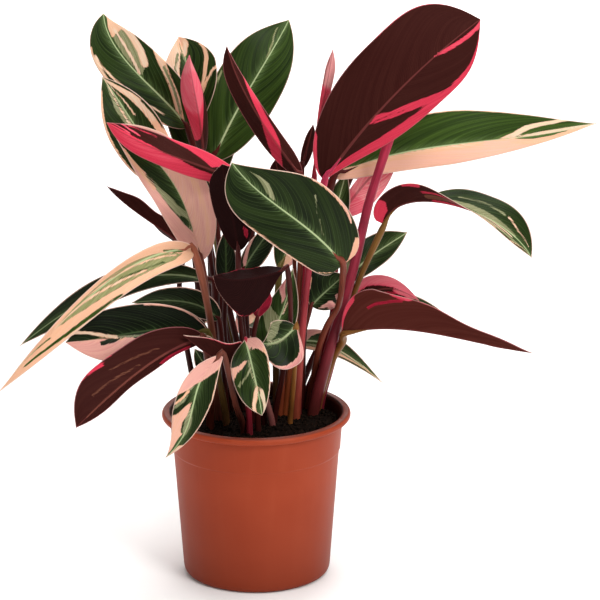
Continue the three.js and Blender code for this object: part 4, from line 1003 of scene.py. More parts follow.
def margin_line(tree, leaf):
    """1 along the margin and 0 inside it."""
    return add(tree, "MapRange", {"Value": leaf["off_margin"], "From Min": MARGIN_OUTER,
                                  "From Max": MARGIN_INNER, "To Min": 1.0, "To Max": 0.0})


def all_but_deepest(tree, leaf):
    """0 on a leaf with the very deepest green, and 1 on most others."""
    return add(tree, "MapRange", {"Value": leaf["freshness"], "From Max": DEEPEST})


vein_count = round(longest["length"] / MAIN_VEIN_SPACING)
print("The longest has about", vein_count, "main veins on each side of its rib")

# %% Upper skin: satin, waxed, striped
upper_skin, tree = new_material("waxed upper leaf skin")
leaf = read_leaf(tree)
fine = strokes(tree, leaf, STROKE_WIDTH, STROKE_LENGTH, detail=3)
broad = strokes(tree, leaf, width=9, length=40, shift=3.1)
hair = strokes(tree, leaf, width=0.9, length=22, shift=8.7)
veins = vein_lines(tree, leaf, MAIN_VEIN_SPACING, reach=0.55)

# The green: deep to yellowish, and darker where a leaf is given painted shade, a little lighter in long
# soft bands, with paler veins.
bands = add(tree, "MapRange", {"Value": broad, "From Min": 0.3, "From Max": 0.72},
            interpolation_type="SMOOTHSTEP")
deep = layered(tree, "#070b04", (leaf["freshness"], 1.0, "#1f300a"))
lit = layered(tree, "#131b0b", (leaf["freshness"], 1.0, "#3a5018"))
vein_fade = add(tree, "MapRange", {"Value": leaf["off_rib"], "From Max": 30.0, "To Min": 1.0,
                                   "To Max": 0.15})
vein_share = add(tree, "Math", {0: veins, 1: vein_fade}, operation="MULTIPLY")
leaf_green = layered(tree, deep, (bands, 1.0, lit), (vein_share, 0.34, "#64814a"))

# Pale strokes feather out of the midrib along the veins and fade within a centimetre.
near_rib = add(tree, "MapRange", {"Value": leaf["off_rib"], "From Max": 9.0, "To Min": 1.0,
                                  "To Max": 0.0})
glow = add(tree, "Math", {0: near_rib, 1: 2.2}, operation="POWER")
streaks = add(tree, "MapRange", {"Value": hair, "From Min": 0.38, "From Max": 0.64},
              interpolation_type="SMOOTHSTEP")
feather = add(tree, "Math", {0: glow, 1: streaks}, operation="MULTIPLY")

# Where the green is thin it is olive, and where it is missing it is cream to pink, in fine streaks.
olive = add(tree, "ValToRGB", {"Fac": hair},
            stops=[(0.3, "#4a5236"), (0.5, "#7d8060"), (0.68, "#bab694")])
olive = layered(tree, olive, (leaf["freshness"], 0.4, "#96924a"))
drift = add(tree, "Math", {0: hair, 1: 0.9, 2: -0.45}, operation="MULTIPLY_ADD")
tone = add(tree, "Math", {0: drift, 1: leaf["tone"]}, operation="ADD")
cream_colour = add(tree, "ValToRGB", {"Fac": tone}, stops=[
    (0.0, "#c6c094"), (0.2, "#e4cab2"), (0.42, "#dea67e"), (0.62, "#e3ac9a"), (0.8, "#d2908a"),
    (1.0, "#c45c68")])
cream_colour = layered(tree, cream_colour, (vein_share, 0.3, "#eddcc6"))

# The coats, from the lowest to the topmost. On the deepest greens the rib and its strokes are dull; most
# of these leaves lie in shade, so this is partly painted shade.
shown = all_but_deepest(tree, leaf)
feather_green = layered(tree, "#3d5230", (shown, 1.0, "#86a164"))
rib_green = layered(tree, "#42562f", (shown, 1.0, "#bccb98"))
colour = layered(
    tree, leaf_green,
    (feather, 0.55, feather_green),
    (frayed(tree, leaf["in_pale"], fine, reach=1.0), 0.92, olive),
    (rib_band(tree, leaf, at_heel=1.0, at_tip=0.3, soft=0.4), 0.8, rib_green),
    (frayed(tree, leaf["in_cream"], fine, reach=0.9), 1.0, cream_colour),
    (margin_line(tree, leaf), 0.8, "#e3bfae"),
)
gloss = add(tree, "MapRange", {"Value": broad, "From Min": 0.3, "From Max": 0.7,
                               "To Min": 0.34, "To Max": 0.46})
relief = add(tree, "Math", {0: veins, 1: broad}, operation="ADD")
bump = add(tree, "Bump", {"Strength": 0.4, "Distance": 0.0006, "Height": relief})
finish_material(upper_skin, {"Base Color": colour, "Roughness": gloss, "Normal": bump,
                             "Specular IOR Level": 0.08})

# %% [markdown]
# The underside has no wax to speak of and is coloured by red sap: deep maroon over green cells, and
# hot pink where the green is missing. It is the upper side's own striping seen from below, so it is
# read from the same marks.

# %% Underside: matte, maroon and pink
underside, tree = new_material("matte maroon leaf underside")
leaf = read_leaf(tree)
fine = strokes(tree, leaf, STROKE_WIDTH, STROKE_LENGTH, detail=3)
broad = strokes(tree, leaf, width=8, length=45, shift=5.3)
hair = strokes(tree, leaf, width=1.0, length=24, shift=1.9)
veins = vein_lines(tree, leaf, FINE_VEIN_SPACING, reach=0.7)

bands = add(tree, "MapRange", {"Value": broad, "From Min": 0.3, "From Max": 0.7},
            interpolation_type="SMOOTHSTEP")
deep = layered(tree, "#180606", (leaf["freshness"], 1.0, "#4a1e18"))
lit = layered(tree, "#1c0807", (leaf["freshness"], 1.0, "#53261f"))
streaks = add(tree, "MapRange", {"Value": hair, "From Min": 0.35, "From Max": 0.65},
              interpolation_type="SMOOTHSTEP")
thin_green = layered(tree, "#5a3226", (streaks, 1.0, "#764a38"))

drift = add(tree, "Math", {0: hair, 1: 0.8, 2: -0.4}, operation="MULTIPLY_ADD")
tone = add(tree, "Math", {0: drift, 1: leaf["tone"]}, operation="ADD")
pink_colour = add(tree, "ValToRGB", {"Fac": tone}, stops=[
    (0.0, "#6c1122"), (0.3, "#ae2339"), (0.6, "#d63c52"), (0.8, "#de6676"), (1.0, "#e6a09c")])

# The coats again. The rib and the margin of the deepest greens are maroon underneath, not pink; most of
# these leaves lie in shade, so this is partly painted shade.
shown = all_but_deepest(tree, leaf)
rib_red = layered(tree, "#2c1010", (shown, 1.0, "#7c3c3a"))
margin_pink = layered(tree, "#4a1c20", (shown, 1.0, "#c9787c"))
colour = layered(
    tree, deep,
    (bands, 1.0, lit),
    (veins, 0.05, "#7b4340"),
    (frayed(tree, leaf["in_pale"], fine, reach=1.0), 0.7, thin_green),
    (frayed(tree, leaf["in_cream"], fine, reach=1.1), 1.0, pink_colour),
    (rib_band(tree, leaf, at_heel=1.5, at_tip=0.3, soft=0.4), 0.5, rib_red),
    (margin_line(tree, leaf), 0.55, margin_pink),
)
bump = add(tree, "Bump", {"Strength": 0.3, "Distance": 0.0004, "Height": veins})
finish_material(underside, {"Base Color": colour, "Roughness": 0.6, "Normal": bump,
                            "Specular IOR Level": 0.03})

# %% [markdown]
# The stalks are smooth and juicy, with fine lengthwise fibres. Their colour runs from brown where they
# leave the peat to olive, red or maroon under the blade, and many feet are darker still as painted
# shade, where the stalks crowd together above the peat. So each stalk carries its own colours on its
# points, and the material adds the fibres and the gloss.

# %% Stalks: glossy, fibrous
stalk_skin, tree = new_material("glossy fibrous leaf stalk")
own_colour = add(tree, "Attribute", {}, "Color", attribute_name="stalk_colour")
round_and_up = add(tree, "Attribute", {}, "Vector", attribute_name="veins")
fibres = add(tree, "VectorMath", {0: round_and_up, 1: (2.2, 0.03, 3.1)}, operation="MULTIPLY")
fibre_noise = add(tree, "TexNoise", {"Vector": fibres, "Scale": 1.0, "Detail": 2.0}, "Fac")
darker = add(tree, "MapRange", {"Value": fibre_noise, "From Min": 0.3, "From Max": 0.7,
                                "To Min": 0.72, "To Max": 1.2})
colour = add(tree, "VectorMath", {0: own_colour, "Scale": darker}, operation="SCALE")
bump = add(tree, "Bump", {"Strength": 0.3, "Distance": 0.0004, "Height": fibre_noise})
finish_material(stalk_skin, {"Base Color": colour, "Roughness": 0.4, "Normal": bump,
                             "Specular IOR Level": 0.12})

# %% [markdown]
# ## Building the leaves
# Each leaf is one mesh of two closed bodies. The blade is a top sheet and an underside sheet, half a
# millimetre apart and joined by a thin rim, with the midrib sunk on top and raised as a keel below. The
# other body is the tube of the stalk, which ends under the midrib. A single sheet with a thickness
# modifier would be shorter to write, but it would have no groove on top and no keel below.

# %% The grid of a blade
ROW = 2.3  # millimetres between two rows of points along a blade
COLUMN = 2.1  # millimetres between two columns across it
LEAST_ROWS = 24
LEAST_COLUMNS = 5  # in each half


def blade_grid(leaf):
    """The t and w of every point, with a column on the midrib."""
    rows = max(LEAST_ROWS, round(leaf["length"] / ROW)) + 1
    left, right = (max(LEAST_COLUMNS, round(half / COLUMN)) for half in leaf["half"])
    w_row = np.concatenate([np.linspace(-1, 0, left + 1)[:-1], np.linspace(0, 1, right + 1)])
    t, w = np.meshgrid(np.linspace(0, 1, rows), w_row, indexing="ij")
    return t, w


def grid_normals(points):
    along = np.gradient(points, axis=0)
    across = np.gradient(points, axis=1)
    return unit(np.cross(across, along))


def sheet_faces(rows, columns, first, flipped):
    """The quads of one sheet, whose points are numbered row by row from 'first'."""
    corner = (np.arange(rows - 1)[:, None] * columns + np.arange(columns - 1) + first).ravel()
    quads = np.stack([corner, corner + 1, corner + 1 + columns, corner + columns], axis=1)
    return quads[:, ::-1] if flipped else quads


def rim_faces(rows, columns):
    """Quads that join the border of the top sheet to the border of the underside sheet."""
    index = np.arange(rows * columns).reshape(rows, columns)
    border = np.concatenate([index[0, :-1], index[:-1, -1], index[-1, :0:-1], index[:0:-1, 0]])
    following = np.roll(border, -1)
    below = rows * columns
    return np.stack([following, border, border + below, following + below], axis=1)


print("The longest has a grid of", *blade_grid(longest)[0].shape, "points")

# %% One blade's mesh
THICKNESS = 0.5
TIP_HALF_WIDTH = 0.3
EDGE_TRIM = 0.25  # keeps the smooth margin inside the chords of the solid's margin
GROOVE = 0.5  # the depth of the groove along the midrib, and how wide it is to each side
GROOVE_WIDTH = 1.1
KEEL = 1.1  # how far the midrib stands out below, and how wide it is to each side
KEEL_WIDTH = 1.5
KEEL_THINNING = 0.75  # how much of the keel is gone at the tip
RIB_ENDS = 0.4  # how suddenly the groove and the keel end at the heel and the tip
VEIN_LEAN = 0.5  # how far towards the tip a side vein runs, as a share of the blade
VEIN_BEND = 1.5
HALVES_APART = 400.0  # millimetres, so that the right half isn't striped like the left one
UPPER, UNDER, STALK = 0, 1, 2  # the materials of a leaf, in the order in which its mesh gets them


def blade_parts(leaf, index):
    """The points and faces of a blade, which skin each face is of, and the numbers to store."""
    t, w = blade_grid(leaf)
    middle = blade_at(leaf, t, w, TIP_HALF_WIDTH, EDGE_TRIM)
    normal = grid_normals(middle)
    half = np.where(w >= 0, leaf["half"][1], leaf["half"][0])
    width = np.maximum(half * outline_at(leaf, t, w >= 0) - EDGE_TRIM, TIP_HALF_WIDTH)
    off_rib = np.abs(w) * width
    taper = np.sin(math.pi * np.clip(t, 0, 1)) ** RIB_ENDS
    groove = GROOVE * np.exp(-((off_rib / GROOVE_WIDTH) ** 2)) * taper
    keel = KEEL * np.exp(-((off_rib / KEEL_WIDTH) ** 2)) * taper * (1 - KEEL_THINNING * t)
    top = middle + normal * (THICKNESS / 2 - groove)[..., None]
    below = middle - normal * (THICKNESS / 2 + keel)[..., None]
    rows, columns = t.shape
    faces = np.concatenate([
        sheet_faces(rows, columns, 0, flipped=False),
        sheet_faces(rows, columns, rows * columns, flipped=True),
        rim_faces(rows, columns),
    ])
    skins = np.full(len(faces), UPPER)
    skins[(rows - 1) * (columns - 1) : 2 * (rows - 1) * (columns - 1)] = UNDER

    vein = (t - VEIN_LEAN * np.abs(w) ** VEIN_BEND) * leaf["length"] + HALVES_APART * (w >= 0)
    off_margin = np.minimum((1 - np.abs(w)) * width, (1 - t) * leaf["length"])
    freshness = np.full(t.shape, FRESHNESS_AND_SHADE.get(leaf["name"], USUAL_FRESHNESS_AND_SHADE))
    in_cream, in_pale, tone = painted(leaf, t, w)
    stored = {
        "veins": np.stack([vein, off_rib, np.full(t.shape, float(index))], axis=-1),
        "marks": np.stack([in_cream, in_pale, tone], axis=-1),
        "place": np.stack([off_margin, t, freshness], axis=-1),
    }
    points = np.concatenate([top.reshape(-1, 3), below.reshape(-1, 3)])
    stored = {key: np.tile(value.reshape(-1, 3), (2, 1)) for key, value in stored.items()}
    return points, faces, skins, stored


print("Its blade alone has", len(blade_parts(longest, 0)[1]), "faces")

# %% [markdown]
# A stalk is a tube along the same curve as in the solid: a Catmull-Rom curve through its foot, its
# bends and the blade's heel. It starts as a wider sheath that wraps its neighbours, thins on its way
# up, and swells once more in the last three centimetres. That swelling is the joint that turns a
# prayer plant's leaf up at night.

# %% The colours of the stalks, each at its foot and at its top
# Many of the dark foot colours are partly painted shade, where the stalks crowd together above the peat.
RED = ("#2c0e0a", "#4a1714")
PINK = ("#4a161a", "#a8283a")
BROWN = ("#6e3018", "#58251f")
OLIVE = ("#4a2614", "#5e5226")
STALK_COLOURS = {
    "leaf_front_large": ("#5c2818", "#783a2c"), "leaf_back_right_tall": ("#421d12", "#b83450"),
    "leaf_arching_right": ("#5f2817", "#7a5628"), "leaf_lower_right_large": ("#6e3a1c", "#7c5228"),
    "leaf_centre_right": BROWN, "leaf_behind_front": BROWN, "leaf_folded_tall": ("#83401f", "#5c2420"),
    "leaf_long_peach": ("#381610", "#96543e"), "leaf_peach_left": ("#43190f", "#7a4034"),
    "leaf_lower_left": OLIVE, "leaf_over_rim": ("#3a140e", "#643428"), "leaf_hanging_centre": PINK,
    "leaf_low_upright_centre": ("#4a161a", "#a86c62"), "leaf_small_centre": ("#7a4820", "#855828"),
    "leaf_new_spear": PINK, "leaf_rose_right": PINK, "leaf_pink_lower_right": PINK,
    "leaf_top_right_large": ("#7a3a20", "#b83450"), "leaf_back_left": OLIVE, "leaf_back_middle": OLIVE,
    "leaf_maroon_lower_left": ("#45190f", "#5c2c20"), "leaf_small_dark_left": OLIVE,
}
print(len(STALK_COLOURS), "of", len(LEAVES), "stalks have colours of their own")

# %% A curve, and directions along it
FINE_STEPS = 40  # between two of the given points, to measure along
LEAST_RINGS = 12


def lengths_along(path):
    """How far along a path each of its points lies."""
    return np.concatenate([[0], np.cumsum(np.linalg.norm(np.diff(path, axis=0), axis=1))])


def catmull_rom(points, spacing):
    """Points at even steps of length along the curve through the given points."""
    before = 2 * points[0] - points[1]
    after = 2 * points[-1] - points[-2]
    every = np.concatenate([[before], points, [after]])
    pieces = []
    for p0, p1, p2, p3 in zip(every, every[1:], every[2:], every[3:]):
        u = np.linspace(0, 1, FINE_STEPS, endpoint=False)[:, None]
        leave, arrive = (p2 - p0) / 2, (p3 - p1) / 2
        bulge = (2 * p1 - 2 * p2 + leave + arrive) * u**3
        pieces.append(p1 + leave * u + (3 * p2 - 3 * p1 - 2 * leave - arrive) * u**2 + bulge)
    curve = np.concatenate([*pieces, [points[-1]]])
    length = lengths_along(curve)
    steps = max(LEAST_RINGS, round(length[-1] / spacing))
    wanted = np.linspace(0, length[-1], steps + 1)
    return np.stack([np.interp(wanted, length, curve[:, axis]) for axis in range(3)], axis=1)


def tube_frames(path):
    """A direction beside and one above each point of a path, which turn as little as they can."""
    forward = unit(np.gradient(path, axis=0))
    beside = np.empty_like(path)
    guess = np.cross(forward[0], (0.0, 1.0, 0.0))
    for i, direction in enumerate(forward):
        guess = guess - (guess @ direction) * direction
        guess = guess / np.linalg.norm(guess)
        beside[i] = guess
    return beside, np.cross(forward, beside)


bent_line = catmull_rom(np.array([(0, 0, 0), (0, 0, 100), (60, 0, 180)], float), 5)
print("A curve of", round(lengths_along(bent_line)[-1]), "mm gets", len(bent_line), "rings")

# %% A stalk's path
SOIL_LEVEL = 157  # millimetres above the foot of the pot
STALK_DEPTH = 20  # how deep it stands in the peat
STRAIGHT_FOOT = 5
RING_STEP = 5  # millimetres between two rings
STALK_REACH = 0.13  # how far the stalk runs on under the midrib, as a share of the blade
UNDER_RIB = 0.9  # millimetres from the midrib down to the middle of the stalk's end


def stalk_path(leaf):
    """Points from the foot in the peat, past the blade's heel, to the stalk's end under the rib."""
    x, y = leaf["foot"]
    t, w = np.meshgrid(np.linspace(0.02, STALK_REACH, 4), (-0.1, 0, 0.1), indexing="ij")
    blade = blade_at(leaf, t, w)
    under = blade[:, 1] - grid_normals(blade)[:, 1] * UNDER_RIB
    foot = [(x, y, SOIL_LEVEL - STALK_DEPTH), (x, y, SOIL_LEVEL + STRAIGHT_FOOT)]
    corners = np.array([*foot, *leaf["bend"], leaf["rib"][0], *under[1:]], float)
    return catmull_rom(corners, RING_STEP)


long_stalked = max(leaves, key=lambda leaf: lengths_along(stalk_path(leaf))[-1])
print("The longest stalk is that of", long_stalked["name"])

# %% A stalk's thickness
LEAST_STALK_RADIUS = 2.3
STALK_GROWTH = 0.008  # how much thicker it is for every millimetre of its blade
NECK_SHARE = 0.72  # what is left of the foot's radius at the blade
SHEATH_LENGTH = 60
SHEATH_GROWTH = 0.15
SWELLING_LENGTH = 26
SWELLING = 0.28
END_THINNING = 0.85  # how much of the radius is gone at the end under the midrib


def bell(distance, width):
    return np.exp(-((distance / width) ** 2))


def stalk_radius(leaf, gone, blade_start):
    """The radius at each distance from the foot, where the blade starts at 'blade_start'."""
    foot_radius = leaf["stout"] * (LEAST_STALK_RADIUS + STALK_GROWTH * leaf["length"])
    radius = foot_radius * (1 - (1 - NECK_SHARE) * np.clip(gone / blade_start, 0, 1))
    radius *= 1 + SHEATH_GROWTH * bell(gone - STALK_DEPTH, SHEATH_LENGTH)
    radius *= 1 + SWELLING * bell(gone - blade_start + SWELLING_LENGTH / 2, SWELLING_LENGTH)
    ending = np.clip((gone - blade_start) / (gone[-1] - blade_start), 0, 1)
    return radius * (1 - END_THINNING * ending)


gone = lengths_along(stalk_path(long_stalked))
print("It is", (2 * stalk_radius(long_stalked, gone, gone[-1])[0]).round(1), "mm thick at its foot")

# %% One stalk's mesh
STALK_SIDES = 12
GRAIN_RADIUS = 2.5  # millimetres: where the points of a ring lie in the noise of the fibres


def stalk_parts(leaf, index):
    """The points, faces and colours of a stalk, and what the leaf's `veins` are on it."""
    path = stalk_path(leaf)
    beside, above = tube_frames(path)
    gone = lengths_along(path)
    blade_start = gone[-1] - STALK_REACH * leaf["length"]
    radius = stalk_radius(leaf, gone, blade_start)

    angle = 2 * math.pi * np.arange(STALK_SIDES) / STALK_SIDES
    cosine, sine = np.cos(angle)[None, :, None], np.sin(angle)[None, :, None]
    ring = beside[:, None] * cosine + above[:, None] * sine
    points = (path[:, None] + ring * radius[:, None, None]).reshape(-1, 3)
    rows = len(path)
    first = np.arange(rows - 1)[:, None] * STALK_SIDES
    corner = first + np.arange(STALK_SIDES)
    beyond = first + (np.arange(STALK_SIDES) + 1) % STALK_SIDES
    quads = np.stack([corner, beyond, beyond + STALK_SIDES, corner + STALK_SIDES], axis=-1)
    caps = [list(range(STALK_SIDES))[::-1], list(range((rows - 1) * STALK_SIDES, rows * STALK_SIDES))]

    low, high = (np.array(linear(c)) for c in STALK_COLOURS.get(leaf["name"], RED))
    share = np.clip(gone / blade_start, 0, 1)[:, None]
    colours = np.repeat(low * (1 - share) + high * share, STALK_SIDES, axis=0)
    round_it = np.tile(GRAIN_RADIUS * np.sin(angle), rows)
    own_number = np.full(rows * STALK_SIDES, float(index))
    veins = np.stack([round_it, np.repeat(gone, STALK_SIDES), own_number], axis=-1)
    return points, quads.reshape(-1, 4).tolist() + caps, colours, veins


print("The longest stalk has", len(stalk_parts(long_stalked, 0)[1]), "faces")

# %% Every leaf
def store(mesh, name, kind, key, values):
    attribute = mesh.attributes.new(name, kind, "POINT")
    attribute.data.foreach_set(key, np.ascontiguousarray(values, np.float32).ravel())


triangles = 0
for index, leaf in enumerate(leaves):
    blade_points, blade_faces, skins, stored = blade_parts(leaf, index)
    stalk_points, stalk_faces, colours, stalk_veins = stalk_parts(leaf, index)
    shift = len(blade_points)
    faces = blade_faces.tolist() + [[corner + shift for corner in face] for face in stalk_faces]
    piece = new_piece(
        leaf["name"].replace("leaf_", "grown_leaf_"),
        np.concatenate([blade_points, stalk_points]),
        faces,
        [upper_skin, underside, stalk_skin],
        leaf["name"],
    )
    mesh = piece.data
    skins = np.concatenate([skins, np.full(len(stalk_faces), STALK)])
    mesh.polygons.foreach_set("material_index", skins.astype(np.int32))
    blank = np.zeros((len(stalk_points), 3))
    stored["veins"] = np.concatenate([stored["veins"], stalk_veins])
    stored["marks"] = np.concatenate([stored["marks"], blank - FAR])
    stored["place"] = np.concatenate([stored["place"], blank + 1])
    for key, values in stored.items():
        store(mesh, key, "FLOAT_VECTOR", "vector", values)
    store(mesh, "stalk_colour", "FLOAT_COLOR", "color", np.concatenate([np.ones((shift, 4)), colours]))
    triangles += sum(len(polygon.vertices) - 2 for polygon in mesh.polygons)
print("The leaves have", triangles, "triangles")

# %% [markdown]
# ## The pot
# A nursery pot is injection moulded from polypropylene in one shot. It has a rolled lip to lift it by,
# a collar with a small step so that stacked pots don't jam, and drain holes. The plastic is satin: the
# mould was blasted, not polished. The CAD model's pot is the right shape with few sides, so the same
# profile is turned here with many sides and with its corners rounded.

# %% Turned shapes
ROUNDING_STEPS = 5  # points on the curve of one rounded corner
LONGEST_ROUNDING = 0.45  # of the side next to the corner, so that two curves never meet


def rounded(corners):
    """A profile with each (radius, height, rounding) corner replaced by a short curve."""
    out = []
    for i, (x, z, rounding) in enumerate(corners):
        here = np.array([x, z], float)
        if not rounding or i in (0, len(corners) - 1):
            out.append(here)
            continue
        ends = []
        for j in (i - 1, i + 1):
            side = np.array(corners[j][:2], float) - here
            length = np.linalg.norm(side)
            ends.append(here + side / length * min(rounding, length * LONGEST_ROUNDING))
        for u in np.linspace(0, 1, ROUNDING_STEPS):
            out.append(ends[0] * (1 - u) ** 2 + 2 * here * u * (1 - u) + ends[1] * u**2)
    return np.array(out)


def turned(profile, sides):
    """Points and faces of a profile turned about the Z axis; it starts and ends on the axis."""
    angle = 2 * math.pi * np.arange(sides) / sides
    circle = np.stack([np.cos(angle), np.sin(angle)], axis=-1)
    body = profile[1:-1]
    heights = np.broadcast_to(body[:, None, 1:], (len(body), sides, 1))
    rings = np.concatenate([circle[None] * body[:, None, :1], heights], axis=-1)
    points = np.concatenate([[(0, 0, profile[0][1])], rings.reshape(-1, 3), [(0, 0, profile[-1][1])]])
    last = len(points) - 1
    faces = [(0, 1 + (i + 1) % sides, 1 + i) for i in range(sides)]
    for row in range(len(body) - 1):
        for i in range(sides):
            a, b = 1 + row * sides + i, 1 + row * sides + (i + 1) % sides
            faces.append((a, b, b + sides, a + sides))
    top = 1 + (len(body) - 1) * sides
    faces += [(last, top + i, top + (i + 1) % sides) for i in range(sides)]
    return points, faces


can = rounded([(0, 0, 0), (30, 0, 2), (30, 80, 2), (0, 80, 0)])
print("A can with rounded edges, turned with 60 sides, has", len(turned(can, 60)[1]), "faces")

# %% The pot's measures, in millimetres
POT_HEIGHT = 170
RIM_RADIUS = 95
BASE_RADIUS = 74
POT_WALL = 2
POT_FLOOR = 3
LIP_HEIGHT = 7
LIP_WIDTH = 8
COLLAR_BOTTOM = 130
COLLAR_LEAN = 2.2  # how much wider the collar is at the lip than at its bottom
COLLAR_STEP = 1.2
COLLAR_RADIUS = RIM_RADIUS - LIP_WIDTH
STEP_RADIUS = COLLAR_RADIUS - COLLAR_LEAN
WALL_SLOPE = (STEP_RADIUS - COLLAR_STEP - BASE_RADIUS) / COLLAR_BOTTOM


def inner_radius_at(height):
    return BASE_RADIUS + WALL_SLOPE * height - POT_WALL


print("The wall leans out by", round(math.degrees(math.atan(WALL_SLOPE)), 1), "degrees")

# %% Satin moulded polypropylene
BLAST_GRAIN = 1400.0  # per metre: grain of about 0.7 mm, coarser than real so that it shows
plastic, tree = new_material("satin moulded polypropylene, terracotta")
where = add(tree, "TexCoord", {}, "Object")
clouds = add(tree, "TexNoise", {"Vector": where, "Scale": 9.0, "Detail": 3.0}, "Fac")
flow = add(tree, "VectorMath", {0: where, 1: (60.0, 60.0, 4.0)}, operation="MULTIPLY")
flow_noise = add(tree, "TexNoise", {"Vector": flow, "Scale": 1.0, "Detail": 4.0}, "Fac")
grain = add(tree, "TexNoise", {"Vector": where, "Scale": BLAST_GRAIN, "Detail": 2.0}, "Fac")
cloudy = add(tree, "MapRange", {"Value": clouds, "From Min": 0.3, "From Max": 0.7},
             interpolation_type="SMOOTHSTEP")
flow_lines = add(tree, "MapRange", {"Value": flow_noise, "From Min": 0.5, "From Max": 0.75})
height = add(tree, "SeparateXYZ", {0: where}, "Z")
# Painted shade: the wall is darker towards the floor, where less light reaches it.
painted_shade_low = add(tree, "MapRange", {"Value": height, "From Min": 0.0, "From Max": 0.11, "To Min": 1.0,
                                  "To Max": 0.0})

# The top of the lip is darker and greyer.
DULL_HEIGHT = (POT_HEIGHT - 1.5) * MM, (POT_HEIGHT - 0.3) * MM
lip_top = add(tree, "MapRange", {"Value": height, "From Min": DULL_HEIGHT[0],
                                 "From Max": DULL_HEIGHT[1]})

# Painted shade darkens the wall inside, from a little below the collar upwards, where the leaves and the
# rim shade it. Near the lip the wall bends outwards, and the painted shade follows it.
INNER_SHADE_HEIGHT = (COLLAR_BOTTOM - 10) * MM, COLLAR_BOTTOM * MM
BEND_HEIGHT = (POT_HEIGHT - 5) * MM, (POT_HEIGHT - 3) * MM
BEND_WIDTH = 1.6 * MM
INNER_SHADE_DEPTH = 1.2 * MM, 1.7 * MM
above_collar = add(tree, "MapRange", {"Value": height, "From Min": INNER_SHADE_HEIGHT[0],
                                      "From Max": INNER_SHADE_HEIGHT[1]})
flattened = add(tree, "VectorMath", {0: where, 1: (1, 1, 0)}, operation="MULTIPLY")
off_axis = add(tree, "VectorMath", {0: flattened}, "Value", operation="LENGTH")
wall_radius = add(tree, "Math", {0: height, 1: WALL_SLOPE, 2: inner_radius_at(0) * MM},
                  operation="MULTIPLY_ADD")
off_wall = add(tree, "Math", {0: off_axis, 1: wall_radius}, operation="SUBTRACT")
bend = add(tree, "MapRange", {"Value": height, "From Min": BEND_HEIGHT[0],
                              "From Max": BEND_HEIGHT[1], "To Max": BEND_WIDTH})
off_inside = add(tree, "Math", {0: off_wall, 1: bend}, operation="SUBTRACT")
on_inner_wall = add(tree, "MapRange", {"Value": off_inside, "From Min": INNER_SHADE_DEPTH[0],
                                       "From Max": INNER_SHADE_DEPTH[1], "To Min": 1.0, "To Max": 0.0})
painted_shade_inside = add(tree, "Math", {0: on_inner_wall, 1: above_collar}, operation="MULTIPLY")

# The coats of colour, and how glossy the plastic is. The coat low down and the near-black coat on the
# wall inside are painted shade.
colour = layered(tree, "#94391f", (cloudy, 1.0, "#9f4227"), (flow_lines, 0.2, "#aa5034"),
                 (painted_shade_low, 0.7, "#712a17"), (lip_top, 0.75, "#5c2e24"), (painted_shade_inside, 0.9, "#100806"))
gloss = add(tree, "MapRange", {"Value": flow_noise, "From Min": 0.3, "From Max": 0.7,
                               "To Min": 0.4, "To Max": 0.5})
bump = add(tree, "Bump", {"Strength": 0.12, "Distance": 0.0003, "Height": grain})
finish_material(plastic, {"Base Color": colour, "Roughness": gloss, "Normal": bump,
                          "Specular IOR Level": 0.1})

# %% The pot
POT_SIDES = 180
LIP_BOTTOM = POT_HEIGHT - LIP_HEIGHT
FOOT_RECESS = 0.6  # how far the middle of the underside is off the ground

# Each corner is (radius, height, rounding).
pot_profile = rounded([
    # The underside and its edge.
    (0, FOOT_RECESS, 0),
    (BASE_RADIUS - 20, FOOT_RECESS, 1),
    (BASE_RADIUS - 16, 0, 1),
    (BASE_RADIUS - 6, 0, 1),
    (BASE_RADIUS - 1.6, 1.2, 2),
    (BASE_RADIUS + 0.3, 5, 3),
    # Up the outside, over the step of the collar and round the lip.
    (STEP_RADIUS - COLLAR_STEP, COLLAR_BOTTOM, 0.8),
    (STEP_RADIUS, COLLAR_BOTTOM + 1.5, 0.8),
    (COLLAR_RADIUS, LIP_BOTTOM, 0.6),
    (RIM_RADIUS - 1.6, LIP_BOTTOM, 1.5),
    (RIM_RADIUS, LIP_BOTTOM + 1.8, 1.5),
    (RIM_RADIUS, POT_HEIGHT - 2.4, 2),
    (RIM_RADIUS - 2.2, POT_HEIGHT, 2),
    # Down the inside and over the floor.
    (COLLAR_RADIUS + 0.5, POT_HEIGHT, 2),
    (COLLAR_RADIUS - POT_WALL, POT_HEIGHT - 3, 2),
    (STEP_RADIUS - POT_WALL, COLLAR_BOTTOM + 3, 1),
    (inner_radius_at(COLLAR_BOTTOM), COLLAR_BOTTOM, 1),
    (inner_radius_at(POT_FLOOR), POT_FLOOR, 1),
    (0, POT_FLOOR, 0),
])
pot = new_piece("moulded_pot", *turned(pot_profile, POT_SIDES), [plastic], "pot")
print("The pot is turned from a profile of", len(pot_profile), "points")

# %% Its drain holes
DRAIN_HOLES = 5
DRAIN_RADIUS = 5
DRAIN_CIRCLE = 46  # the radius of the circle they lie on
DRILL_SIDES = 32
DRILL_LENGTH = 20

